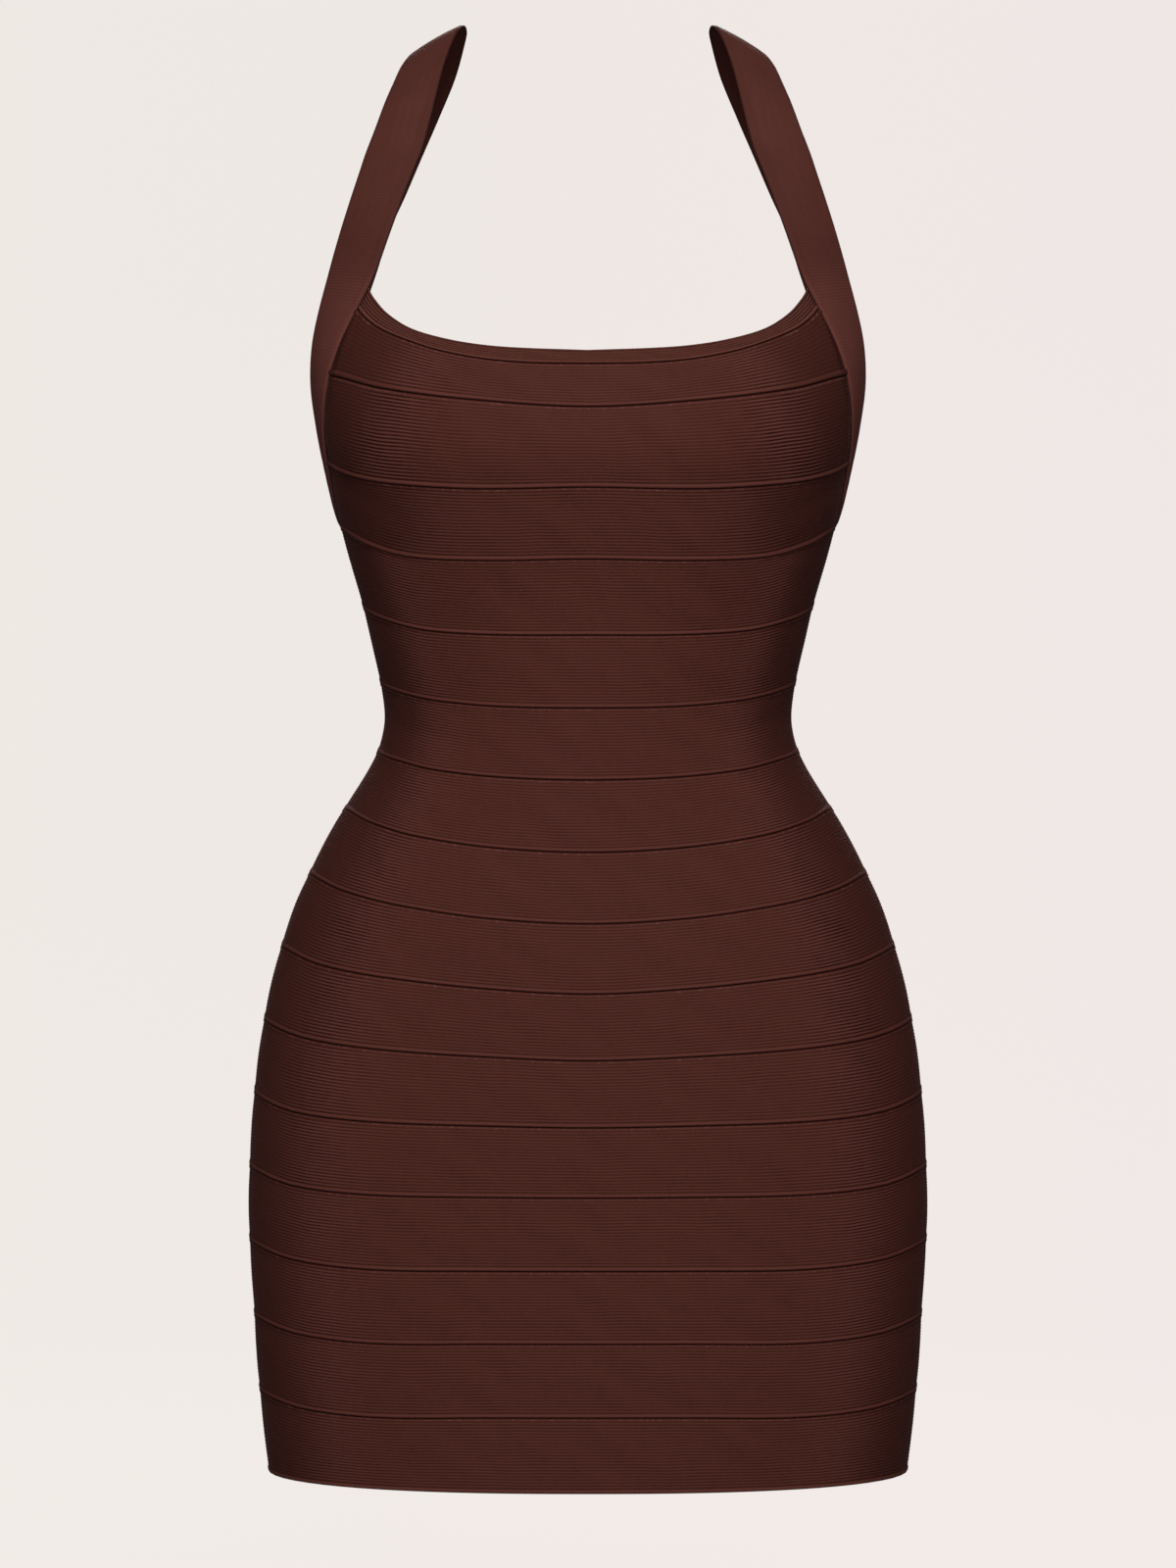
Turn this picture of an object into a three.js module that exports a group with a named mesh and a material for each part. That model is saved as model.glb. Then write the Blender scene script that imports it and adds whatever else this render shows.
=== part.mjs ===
// Sleeveless bandage-knit bodycon dress, filled out as it hangs on a general figure, with no wearer.
// Long ribbed strips are joined edge to edge from the hem to the bust. A narrow band edges the neck,
// and one wide strap a side runs from the underarm over the shoulder to the back.
//
// Frame: +X to the right as seen from the front, the front faces -Y, +Z up. The origin is midway
// between the straps, level with their underside where they rest on the shoulders.
// All sizes are millimetres and all angles in tables are degrees.

import * as THREE from 'three';

// Driving dimensions
const CLOTH = 2.0; // thickness of the knit
const SEAM_GAP = 0.3; // open line between pieces that are sewn together
const STRAP_GAP = 0.35; // the same along the slanted strap seam, measured level
const LIP_RISE = 0.9; // how far the rolled lower edge of a strip stands proud
const LIP_HEIGHT = 3.2; // height of that rolled edge
const LIP_START = 0.5; // share of the rise that the rolled edge has at its lowest line
const LIP_CROWN = 0.42; // share of the height at which it stands out most
const NECK_LIP_HEIGHT = 2.4;
const STRAP_CROWN = 1.0; // how far the middle of a free strap stands out from its edges
const SHOULDER_REST_HEIGHT = 784; // underside of the straps on the shoulders, above the hem
const BACK_DROP = 0.7; // how much of the front's dip each seam has at the back

// How finely the curves are stepped
const STRIP_COLUMNS = 20;
const STRAP_FACE_STEPS = 3;
const STRAP_LINING_STEPS = 2;
const STATIONS_A_ROW = 2; // stations of the free stretch of a strap for each row of its table
const CURVE_STEP = 0.005; // share of that stretch over which its direction is taken
const SLOPE_TURN = 0.5; // degrees each way over which the body's slope is taken
const SLOPE_RISE = 1; // millimetres each way, upward
const END_TRIES = 12; // tries at closing in on the place where a strip's edge meets the strap

// Body form: level sections through the dress, from the hem up. Above the underarm the sides are
// the line that the chest would follow under the arm. square is the power of the rounded outline.
const SECTIONS = [
  { height: 0, half: 175.9, front: 105, back: 101, square: 2.35 },
  { height: 52, half: 181.4, front: 105, back: 105, square: 2.45 },
  { height: 96, half: 184.2, front: 105, back: 109, square: 2.5 },
  { height: 139, half: 186.6, front: 105, back: 112, square: 2.5 },
  { height: 182, half: 185.5, front: 105, back: 113, square: 2.5 },
  { height: 225, half: 181.7, front: 104, back: 110, square: 2.45 },
  { height: 268, half: 174.2, front: 102, back: 102, square: 2.35 },
  { height: 312, half: 160.7, front: 98, back: 90, square: 2.25 },
  { height: 355, half: 139.6, front: 92, back: 79, square: 2.1 },
  { height: 387, half: 119.8, front: 89, back: 74, square: 2.0 },
  { height: 409, half: 112.5, front: 88, back: 73, square: 2.0 },
  { height: 430, half: 114.3, front: 89, back: 74, square: 2.05 },
  { height: 474, half: 124.2, front: 95, back: 79, square: 2.15 },
  { height: 517, half: 136.2, front: 107, back: 85, square: 2.25 },
  { height: 549, half: 144.3, front: 117, back: 89, square: 2.3 },
  { height: 571, half: 149.6, front: 117, back: 91, square: 2.25 },
  { height: 600, half: 154.8, front: 109, back: 92, square: 2.2 },
  { height: 636, half: 157, front: 93, back: 91, square: 2.2 },
  { height: 660, half: 157, front: 82, back: 88, square: 2.2 },
];

// Lower edge of each strip: its height at six angles from the centre front, the last at the side
// seam. The first row is the hem. The seams under the bust dip below their height at the centre.
const EDGE_ANGLES = { centre: 0, inner: 30, outer: 52, flank: 66, rim: 78, side: 90 };
const STRIP_EDGES = [
  { centre: 0, inner: 0, outer: 0, flank: 0, rim: 0, side: 0 },
  { centre: 40.2, inner: 39.9, outer: 38.6, flank: 40.2, rim: 44.2, side: 45.5 },
  { centre: 79.3, inner: 79.1, outer: 78.1, flank: 80.4, rim: 85.3, side: 86.5 },
  { centre: 117.9, inner: 117.8, outer: 117.5, flank: 120.2, rim: 125.9, side: 128 },
  { centre: 156.8, inner: 157, outer: 157.3, flank: 160, rim: 166.2, side: 168.5 },
  { centre: 194, inner: 194.9, outer: 196.2, flank: 199.3, rim: 205.6, side: 210 },
  { centre: 229.5, inner: 231.6, outer: 234.8, flank: 239.2, rim: 245.5, side: 249.3 },
  { centre: 264.8, inner: 267.7, outer: 273, flank: 278.7, rim: 285.9, side: 289 },
  { centre: 302, inner: 304.9, outer: 311.6, flank: 318.8, rim: 325.7, side: 328.6 },
  { centre: 339.9, inner: 342.4, outer: 348.5, flank: 355.4, rim: 361.6, side: 363.5 },
  { centre: 378.4, inner: 380, outer: 384, flank: 388.7, rim: 392.3, side: 395.3 },
  { centre: 416.8, inner: 417.7, outer: 421, flank: 425, rim: 429.2, side: 433.1 },
  { centre: 455.6, inner: 456, outer: 458.8, flank: 464.2, rim: 469.8, side: 475.5 },
  { centre: 495.7, inner: 495.3, outer: 498, flank: 505.7, rim: 514.3, side: 518.4 },
  { centre: 533.2, inner: 532.8, outer: 537, flank: 543, rim: 550.7, side: 556 },
  { centre: 575.5, inner: 580, outer: 587.6, flank: 596, rim: 600.5, side: 603 },
];
const FULL_STRIPS = 13; // strips that run from side seam to side seam
const MIDDLE_ROWS = { full: 1, underarm: 6, chest: 3 }; // steps up a strip, more where its ends curve

// Neckline, from the centre out to the strap: the free edge and the seam under the neck band.
const NECK = [
  { edgeAngle: 0, edgeHeight: 606.3, seamAngle: 0, seamHeight: 598.9 },
  { edgeAngle: 17, edgeHeight: 607.6, seamAngle: 15, seamHeight: 599.4 },
  { edgeAngle: 28, edgeHeight: 609.5, seamAngle: 28, seamHeight: 601.8 },
  { edgeAngle: 38, edgeHeight: 613.3, seamAngle: 39, seamHeight: 606.5 },
  { edgeAngle: 47.5, edgeHeight: 619.6, seamAngle: 47.5, seamHeight: 612.4 },
  { edgeAngle: 54.5, edgeHeight: 628.5, seamAngle: 55.5, seamHeight: 619.6 },
  { edgeAngle: 59, edgeHeight: 637.6, seamAngle: 60.5, seamHeight: 626.5 },
  { edgeAngle: 61.8, edgeHeight: 645, seamAngle: 64.3, seamHeight: 634 },
];

// Strap where it lies on the body, from the side seam up to the neckline: the seam that joins it to
// the strips, front and back, and the free edge at the armhole.
const UNDERARM_BAND = [
  { seamHeight: 518.7, frontAngle: 90, backAngle: 90, edgeHeight: 541, edgeAngle: 90 },
  { seamHeight: 522, frontAngle: 86.5, backAngle: 86.5, edgeHeight: 542.2, edgeAngle: 88 },
  { seamHeight: 530.5, frontAngle: 82, backAngle: 82, edgeHeight: 547.5, edgeAngle: 85.6 },
  { seamHeight: 543, frontAngle: 79.2, backAngle: 78.6, edgeHeight: 557, edgeAngle: 83.6 },
  { seamHeight: 560, frontAngle: 76.1, backAngle: 75.4, edgeHeight: 570, edgeAngle: 82.2 },
  { seamHeight: 578, frontAngle: 72.7, backAngle: 72.6, edgeHeight: 586, edgeAngle: 81.2 },
  { seamHeight: 597, frontAngle: 69.3, backAngle: 70.6, edgeHeight: 603, edgeAngle: 79.3 },
  { seamHeight: 618, frontAngle: 65.7, backAngle: 68.4, edgeHeight: 623, edgeAngle: 76.9 },
  { seamHeight: 634, frontAngle: 63.3, backAngle: 66.6, edgeHeight: 639, edgeAngle: 74.8 },
  { seamHeight: 645, frontAngle: 61.7, backAngle: 65.2, edgeHeight: 649, edgeAngle: 73.8 },
];

// Strap where it is free, from the front neckline over the shoulder to the back neckline. Each row
// has the place of the neck-side edge and of the arm-side edge: x outward, y back, height up.
const SHOULDER_STRAP = [
  { neckX: 114.2, neckY: -64, neckHeight: 653, armX: 140.6, armY: -43.2, armHeight: 656 },
  { neckX: 107.6, neckY: -66, neckHeight: 671.5, armX: 135.2, armY: -48, armHeight: 674 },
  { neckX: 99.9, neckY: -63, neckHeight: 693, armX: 129, armY: -47, armHeight: 694 },
  { neckX: 94.3, neckY: -59, neckHeight: 708, armX: 124.6, armY: -44, armHeight: 708 },
  { neckX: 89.7, neckY: -54, neckHeight: 720.4, armX: 121.3, armY: -40, armHeight: 719 },
  { neckX: 85.7, neckY: -47, neckHeight: 736.8, armX: 116.5, armY: -34, armHeight: 733 },
  { neckX: 81.8, neckY: -37, neckHeight: 755.6, armX: 111.3, armY: -26, armHeight: 749 },
  { neckX: 78.4, neckY: -26, neckHeight: 771, armX: 107, armY: -17, armHeight: 761 },
  { neckX: 74, neckY: -14, neckHeight: 785.3, armX: 103, armY: -8, armHeight: 771.5 },
  { neckX: 70.7, neckY: -5, neckHeight: 792.9, armX: 99.5, armY: -2, armHeight: 777 },
  { neckX: 68.5, neckY: 5, neckHeight: 795.9, armX: 97.6, armY: 5, armHeight: 779.3 },
  { neckX: 67.4, neckY: 15, neckHeight: 794.4, armX: 97.3, armY: 13, armHeight: 779 },
  { neckX: 69.2, neckY: 27, neckHeight: 788, armX: 99, armY: 23, armHeight: 774.5 },
  { neckX: 75, neckY: 46, neckHeight: 771.5, armX: 106, armY: 38, armHeight: 761 },
  { neckX: 84.4, neckY: 58, neckHeight: 751, armX: 115, armY: 46, armHeight: 745 },
  { neckX: 94.3, neckY: 66, neckHeight: 730, armX: 123, armY: 49, armHeight: 729 },
  { neckX: 103.7, neckY: 70, neckHeight: 709, armX: 130.5, armY: 50, armHeight: 711 },
  { neckX: 113.4, neckY: 68, neckHeight: 687, armX: 136.5, armY: 46.5, armHeight: 690 },
  { neckX: 120, neckY: 64, neckHeight: 664, armX: 140.2, armY: 43, armHeight: 668 },
];

const FRONT = -1;
const BACK = 1;
const LEFT = -1;
const RIGHT = 1;
const RIGHT_ANGLE = 90;
const STRIP_FINISH = { color: '#4a2624', roughness: 0.85, metalness: 0 };
const NECK_FINISH = { color: '#512b28', roughness: 0.85, metalness: 0 };
const STRAP_FINISH = { color: '#572e2b', roughness: 0.8, metalness: 0 };

// Smooth value of a table's column at a place in another column, which rises from row to row.
function columnAt(rows, place, value, at) {
  let i = 0;
  while (i < rows.length - 2 && rows[i + 1][place] < at) i += 1;
  const low = rows[i];
  const high = rows[i + 1];
  const span = high[place] - low[place];
  const t = (at - low[place]) / span;
  const slope = (first, last) => (last[value] - first[value]) / (last[place] - first[place]);
  const slopeLow = slope(rows[Math.max(i - 1, 0)], high) * span;
  const slopeHigh = slope(low, rows[Math.min(i + 2, rows.length - 1)]) * span;
  const t2 = t * t;
  const t3 = t2 * t;
  return (
    (2 * t3 - 3 * t2 + 1) * low[value] +
    (t3 - 2 * t2 + t) * slopeLow +
    (3 * t2 - 2 * t3) * high[value] +
    (t3 - t2) * slopeHigh
  );
}

const toRadians = THREE.MathUtils.degToRad;

// Place on the body form. angle counts from the centre front or back to the side, with its sign.
function bodyPoint(angle, height, facing) {
  const half = columnAt(SECTIONS, 'height', 'half', height);
  const depth = columnAt(SECTIONS, 'height', facing === FRONT ? 'front' : 'back', height);
  const square = columnAt(SECTIONS, 'height', 'square', height);
  const across = Math.sin(toRadians(angle));
  const along = Math.cos(toRadians(angle));
  const sum = Math.abs(across / half) ** square + Math.abs(along / depth) ** square;
  const radius = sum ** (-1 / square);
  return new THREE.Vector3(radius * across, facing * radius * along, height);
}

// Outward direction of the body form at the same place, from its slopes there.
function bodyNormal(angle, height, facing) {
  const slope = (turn, rise) =>
    bodyPoint(angle + turn, height + rise, facing).sub(bodyPoint(angle - turn, height - rise, facing));
  const level = slope(SLOPE_TURN, 0);
  const upward = slope(0, SLOPE_RISE);
  return level.cross(upward).multiplyScalar(-facing).normalize();
}

// Height of a strip's lower edge at an angle, on the front or the back. The row before the centre is
// the one after it again, so that the line is level there.
function edgeHeight(edge, angle, facing) {
  const rows = Object.entries(EDGE_ANGLES).map(([column, at]) => ({ at, height: edge[column] }));
  rows.unshift({ at: -EDGE_ANGLES.inner, height: edge.inner });
  const dip = edge.side - columnAt(rows, 'at', 'height', Math.abs(angle));
  return edge.side - dip * (facing === FRONT ? 1 : BACK_DROP);
}

// Angle of the seam that joins the strips to the strap, at a height above the underarm.
function strapSeamAngle(height, facing) {
  return columnAt(UNDERARM_BAND, 'seamHeight', facing === FRONT ? 'frontAngle' : 'backAngle', height);
}

// Where a strip or neck band stops short of that seam, so that a gap stays in both directions.
function stripEndAtStrap(height, facing) {
  const seamHeight = Math.max(height + SEAM_GAP, UNDERARM_BAND[0].seamHeight);
  return strapSeamAngle(seamHeight, facing) - gapAngle(STRAP_GAP / 2, height);
}

// Angle that a level distance takes up near the side of the body.
function gapAngle(gap, height) {
  return THREE.MathUtils.radToDeg(gap / columnAt(SECTIONS, 'height', 'half', height));
}

// Where a strip's edge ends: at the side seam, or at the strap's seam above the underarm.
function endOfEdge(edge, facing) {
  let angle = RIGHT_ANGLE;
  for (let step = 0; step < END_TRIES; step += 1) {
    const height = edgeHeight(edge, angle, facing);
    const isBelowStrap = height <= UNDERARM_BAND[0].seamHeight;
    angle = isBelowStrap ? RIGHT_ANGLE : strapSeamAngle(height, facing);
  }
  return { angle, height: edgeHeight(edge, angle, facing) };
}

// Closed wall from columns of points. Each column has its points on the worn side, face, and on the
// skin side, lining, both from one edge of the cloth to the other.
function wallGeometry(columns) {
  const faceCount = columns[0].face.length;
  const liningCount = columns[0].lining.length;
  const ring = faceCount + liningCount;
  const positions = [];
  for (const { face, lining } of columns) {
    for (const point of [...face, ...lining.slice().reverse()]) positions.push(...point.toArray());
  }
  const indices = [];
  const quad = (a, b, c, d) => indices.push(a, b, c, a, c, d);
  for (let column = 0; column + 1 < columns.length; column += 1) {
    const here = column * ring;
    const next = here + ring;
    for (let i = 0; i < ring; i += 1) {
      const after = (i + 1) % ring;
      quad(here + i, next + i, next + after, here + after);
    }
  }
  // Each end is filled with triangles that step up the face and the lining in turn.
  const endTriangles = (start, isFirst) => {
    let face = 0;
    let lining = 0;
    const liningVertex = (index) => start + ring - 1 - index;
    while (face < faceCount - 1 || lining < liningCount - 1) {
      const faceShare = (face + 1) / (faceCount - 1);
      const liningShare = (lining + 1) / (liningCount - 1);
      const stepFace = lining === liningCount - 1 || (face < faceCount - 1 && faceShare <= liningShare);
      const corners = [start + face, liningVertex(lining)];
      if (stepFace) {
        face += 1;
        corners.push(start + face);
      } else {
        lining += 1;
        corners.push(liningVertex(lining));
      }
      indices.push(...(isFirst ? corners.reverse() : corners));
    }
  };
  endTriangles(0, true);
  endTriangles((columns.length - 1) * ring, false);
  const geometry = new THREE.BufferGeometry();
  geometry.setAttribute('position', new THREE.Float32BufferAttribute(positions, 3));
  geometry.setIndex(indices);
  if (signedVolume(geometry) < 0) {
    for (let i = 0; i < indices.length; i += 3) [indices[i], indices[i + 1]] = [indices[i + 1], indices[i]];
    geometry.setIndex(indices);
  }
  geometry.computeVertexNormals();
  return geometry;
}

// Volume inside a mesh, negative if its faces point inward.
function signedVolume(geometry) {
  const position = geometry.getAttribute('position');
  const index = geometry.getIndex();
  const corner = (i) => new THREE.Vector3().fromBufferAttribute(position, index.getX(i));
  let total = 0;
  for (let i = 0; i < index.count; i += 3) {
    total += corner(i).dot(corner(i + 1).cross(corner(i + 2))) / 6;
  }
  return total;
}

// Rows of a strip's worn side: millimetres above its lower edge, and how far each stands proud.
function lipRows(height) {
  return [
    { above: 0, rise: LIP_RISE * LIP_START },
    { above: height * LIP_CROWN, rise: LIP_RISE },
    { above: height, rise: 0 },
  ];
}

// Wall between a lower and an upper line on the body. Each line gives { angle, height } at a share
// from -1 to 1 across the piece, and place sets where a share of the way up between them lies.
function bandOnBody({ facing, lipHeight, middleRows, place, lowerToUpper }) {
  const columns = [];
  for (let column = 0; column <= STRIP_COLUMNS; column += 1) {
    const across = -1 + (2 * column) / STRIP_COLUMNS;
    const tall = lowerToUpper(across);
    const rows = lipRows(lipHeight).map(({ above, rise }) => ({ up: above / tall, rise }));
    const lipShare = lipHeight / tall;
    for (let middle = 1; middle <= middleRows + 1; middle += 1) {
      rows.push({ up: lipShare + ((1 - lipShare) * middle) / (middleRows + 1), rise: 0 });
    }
    const face = rows.map(({ up, rise }) => {
      const { angle, height } = place(across, up);
      return bodyPoint(angle, height, facing).addScaledVector(bodyNormal(angle, height, facing), rise);
    });
    const lining = [];
    for (let row = 0; row <= middleRows + 1; row += 1) {
      const { angle, height } = place(across, row / (middleRows + 1));
      lining.push(
        bodyPoint(angle, height, facing).addScaledVector(bodyNormal(angle, height, facing), -CLOTH),
      );
    }
    columns.push({ face, lining });
  }
  return wallGeometry(columns);
}

// Strip number index + 1, between its own lower edge and the next one, or the neck band's seam.
function stripGeometry(index, facing) {
  const isFull = index < FULL_STRIPS;
  const isTop = index === STRIP_EDGES.length - 1;
  const middleRows = MIDDLE_ROWS[isFull ? 'full' : index === FULL_STRIPS ? 'underarm' : 'chest'];
  const lowerEdge = STRIP_EDGES[index];
  const lowerEnd = endOfEdge(lowerEdge, facing);
  const upperEdge = isTop ? null : STRIP_EDGES[index + 1];
  const neckEnd = NECK[NECK.length - 1];
  const upperEnd = isTop
    ? { angle: neckEnd.seamAngle, height: neckEnd.seamHeight }
    : endOfEdge(upperEdge, facing);

  const lowerAt = (across) => {
    const angle = Math.abs(across) * lowerEnd.angle;
    const gap = index === 0 ? 0 : SEAM_GAP / 2;
    return { angle, height: edgeHeight(lowerEdge, angle, facing) + gap };
  };
  const upperAt = (across) => {
    if (isTop) return neckLine('seam', Math.abs(across), -SEAM_GAP / 2);
    const angle = Math.abs(across) * upperEnd.angle;
    return { angle, height: edgeHeight(upperEdge, angle, facing) - SEAM_GAP / 2 };
  };
  const endAngle = (height) => {
    if (isFull) return RIGHT_ANGLE - gapAngle(SEAM_GAP / 2, height);
    return stripEndAtStrap(height, facing);
  };
  const place = (across, up) => {
    const lower = lowerAt(across);
    const upper = upperAt(across);
    const height = THREE.MathUtils.lerp(lower.height, upper.height, up);
    const endHeight = THREE.MathUtils.lerp(lowerAt(1).height, upperAt(1).height, up);
    const plainEnd = THREE.MathUtils.lerp(lowerEnd.angle, upperEnd.angle, up);
    const stretch = endAngle(endHeight) / plainEnd;
    const angle = THREE.MathUtils.lerp(lower.angle, upper.angle, up) * stretch;
    return { angle: Math.sign(across) * angle, height };
  };
  const lowerToUpper = (across) => upperAt(across).height - lowerAt(across).height;
  return bandOnBody({
    facing,
    lipHeight: LIP_HEIGHT,
    middleRows,
    place,
    lowerToUpper,
  });
}

// Point of the neckline's edge or seam, at a share from 0 at the centre to 1 at the strap.
function neckLine(line, share, lift) {
  const rows = NECK.map((row, index) => ({ ...row, share: index / (NECK.length - 1) }));
  return {
    angle: columnAt(rows, 'share', `${line}Angle`, share),
    height: columnAt(rows, 'share', `${line}Height`, share) + lift,
  };
}

function neckBandGeometry(facing) {
  const seamAt = (across) => neckLine('seam', Math.abs(across), SEAM_GAP / 2);
  const edgeAt = (across) => neckLine('edge', Math.abs(across), 0);
  const place = (across, up) => {
    const seam = seamAt(across);
    const edge = edgeAt(across);
    const height = THREE.MathUtils.lerp(seam.height, edge.height, up);
    const endHeight = THREE.MathUtils.lerp(seamAt(1).height, edgeAt(1).height, up);
    const plainEnd = THREE.MathUtils.lerp(seamAt(1).angle, edgeAt(1).angle, up);
    const stretch = stripEndAtStrap(endHeight, facing) / plainEnd;
    const angle = THREE.MathUtils.lerp(seam.angle, edge.angle, up) * stretch;
    return { angle: Math.sign(across) * angle, height };
  };
  const lowerToUpper = (across) => edgeAt(across).height - seamAt(across).height;
  return bandOnBody({ facing, lipHeight: NECK_LIP_HEIGHT, middleRows: 0, place, lowerToUpper });
}

// Points across the strap at one station on the body, from its seam to the armhole.
function strapAcrossOnBody(row, facing) {
  const isCutEnd = row === UNDERARM_BAND[0];
  const points = [];
  for (let step = 0; step <= STRAP_FACE_STEPS; step += 1) {
    const share = step / STRAP_FACE_STEPS;
    const height = THREE.MathUtils.lerp(row.seamHeight, row.edgeHeight, share);
    const seamAngle = facing === FRONT ? row.frontAngle : row.backAngle;
    const plain = THREE.MathUtils.lerp(seamAngle, row.edgeAngle, share);
    const clear = isCutEnd ? -gapAngle(SEAM_GAP / 2, height) : gapAngle(STRAP_GAP / 2, height) * (1 - share);
    points.push(bodyPoint(plain + clear, height, facing));
  }
  return points;
}

// Points across the strap at one station over the shoulder.
function strapAcrossFree(neckEdge, armEdge, along) {
  const outward = new THREE.Vector3().subVectors(armEdge, neckEdge).cross(along).normalize();
  const points = [];
  for (let step = 0; step <= STRAP_FACE_STEPS; step += 1) {
    const share = step / STRAP_FACE_STEPS;
    const rise = 4 * STRAP_CROWN * share * (1 - share);
    points.push(new THREE.Vector3().lerpVectors(neckEdge, armEdge, share).addScaledVector(outward, rise));
  }
  return points;
}

// Rows of the strap on the body, with one more between each two.
function underarmRows() {
  const rows = [];
  UNDERARM_BAND.forEach((row, index) => {
    rows.push(row);
    if (index + 1 === UNDERARM_BAND.length) return;
    const seamHeight = (row.seamHeight + UNDERARM_BAND[index + 1].seamHeight) / 2;
    const between = { seamHeight };
    for (const column of ['frontAngle', 'backAngle', 'edgeHeight', 'edgeAngle']) {
      between[column] = columnAt(UNDERARM_BAND, 'seamHeight', column, seamHeight);
    }
    rows.push(between);
  });
  return rows;
}

function strapGeometry(side) {
  const onBody = underarmRows();
  const lead = onBody.map((row) => strapAcrossOnBody(row, FRONT));
  const tail = onBody.map((row) => strapAcrossOnBody(row, BACK)).reverse();
  // The free stretch starts and ends on the body, so that its curves leave it smoothly.
  const neckPoints = [lead.at(-1)[0]];
  const armPoints = [lead.at(-1)[STRAP_FACE_STEPS]];
  for (const row of SHOULDER_STRAP) {
    neckPoints.push(new THREE.Vector3(row.neckX, row.neckY, row.neckHeight));
    armPoints.push(new THREE.Vector3(row.armX, row.armY, row.armHeight));
  }
  neckPoints.push(tail[0][0]);
  armPoints.push(tail[0][STRAP_FACE_STEPS]);
  const neckCurve = new THREE.CatmullRomCurve3(neckPoints);
  const armCurve = new THREE.CatmullRomCurve3(armPoints);
  const stations = STATIONS_A_ROW * (neckPoints.length - 1);
  const free = [];
  for (let station = 1; station < stations; station += 1) {
    const t = station / stations;
    const headingOf = (curve) => curve.getPoint(t + CURVE_STEP).sub(curve.getPoint(t - CURVE_STEP));
    const along = headingOf(neckCurve).add(headingOf(armCurve));
    free.push(strapAcrossFree(neckCurve.getPoint(t), armCurve.getPoint(t), along));
  }
  const grid = [...lead, ...free, ...tail];
  const columns = grid.map((points, station) => {
    const before = grid[Math.max(station - 1, 0)];
    const after = grid[Math.min(station + 1, grid.length - 1)];
    const inward = points.map((point, i) => {
      const first = points[Math.max(i - 1, 0)];
      const last = points[Math.min(i + 1, STRAP_FACE_STEPS)];
      const along = new THREE.Vector3().subVectors(after[i], before[i]);
      return new THREE.Vector3().subVectors(last, first).cross(along).normalize().multiplyScalar(-CLOTH);
    });
    const lining = [];
    for (let step = 0; step <= STRAP_LINING_STEPS; step += 1) {
      const at = (step / STRAP_LINING_STEPS) * STRAP_FACE_STEPS;
      const low = Math.floor(at);
      const high = Math.ceil(at);
      const point = new THREE.Vector3().lerpVectors(points[low], points[high], at - low);
      const offset = new THREE.Vector3().lerpVectors(inward[low], inward[high], at - low);
      lining.push(point.add(offset));
    }
    return { face: points, lining };
  });
  for (const { face, lining } of columns) {
    for (const point of [...face, ...lining]) point.x *= side;
  }
  return wallGeometry(columns);
}

const dress = new THREE.Group();
dress.position.z = -SHOULDER_REST_HEIGHT;

function addPiece(name, geometry, finish) {
  const mesh = new THREE.Mesh(geometry, new THREE.MeshStandardMaterial(finish));
  mesh.name = name;
  dress.add(mesh);
}

for (const [name, facing] of [['front', FRONT], ['back', BACK]]) {
  for (let index = 0; index < STRIP_EDGES.length; index += 1) {
    const number = String(index + 1).padStart(2, '0');
    addPiece(`${name}_strip_${number}`, stripGeometry(index, facing), STRIP_FINISH);
  }
  addPiece(`${name}_neck_band`, neckBandGeometry(facing), NECK_FINISH);
}
addPiece('strap_left', strapGeometry(LEFT), STRAP_FINISH);
addPiece('strap_right', strapGeometry(RIGHT), STRAP_FINISH);

export default dress;
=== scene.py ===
"""Sleeveless bandage-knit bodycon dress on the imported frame: ribbed strips, neck bands and straps.

Every piece of cloth starts as a flat grid, is laid on the form of the body and gets its ribs, its
rolled lower edge and its sunk seams there. Sizes in the tables are millimetres, heights count from
the hem, and angles are degrees from the centre front or back. Blender's own units are metres.
"""

from __future__ import annotations

import logging
import math
from dataclasses import dataclass, field
from enum import Enum

import bmesh
import bpy
import numpy as np
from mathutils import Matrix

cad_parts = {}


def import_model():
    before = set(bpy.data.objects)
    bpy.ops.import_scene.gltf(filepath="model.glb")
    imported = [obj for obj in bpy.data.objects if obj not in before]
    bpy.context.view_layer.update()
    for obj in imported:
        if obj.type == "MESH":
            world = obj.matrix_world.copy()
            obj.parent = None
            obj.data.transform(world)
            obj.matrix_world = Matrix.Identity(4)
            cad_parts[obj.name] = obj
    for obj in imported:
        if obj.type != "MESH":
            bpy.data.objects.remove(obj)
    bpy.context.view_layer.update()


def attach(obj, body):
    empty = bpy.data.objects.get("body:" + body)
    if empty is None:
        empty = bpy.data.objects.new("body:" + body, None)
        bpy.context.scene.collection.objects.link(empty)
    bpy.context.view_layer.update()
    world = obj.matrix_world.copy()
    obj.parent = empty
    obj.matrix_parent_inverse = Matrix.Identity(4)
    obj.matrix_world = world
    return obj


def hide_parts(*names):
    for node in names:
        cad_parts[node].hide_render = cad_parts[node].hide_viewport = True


LOG = logging.getLogger("bodycon_dress")

MILLIMETRE = 0.001
SHOULDER_REST_HEIGHT = 784.0  # underside of the straps above the hem, where the frame has its origin
BACK_DROP = 0.7  # how much of the front's dip each seam has at the back
RIGHT_ANGLE = 90.0
WIDEST_HALF = 186.6  # half the width of the hips, the widest part
STRETCH = 1.06  # how much longer a strip is when worn than when cut
CLOTH_THICKNESS = 1.0
BODY = "root"


class Facing(Enum):
    """Which half of the dress a strip belongs to; the value is the sign of its depth."""

    FRONT = -1
    BACK = 1


class Side(Enum):
    """Which side a strap is on, as seen from the front; the value is the sign of its place."""

    LEFT = -1
    RIGHT = 1


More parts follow.
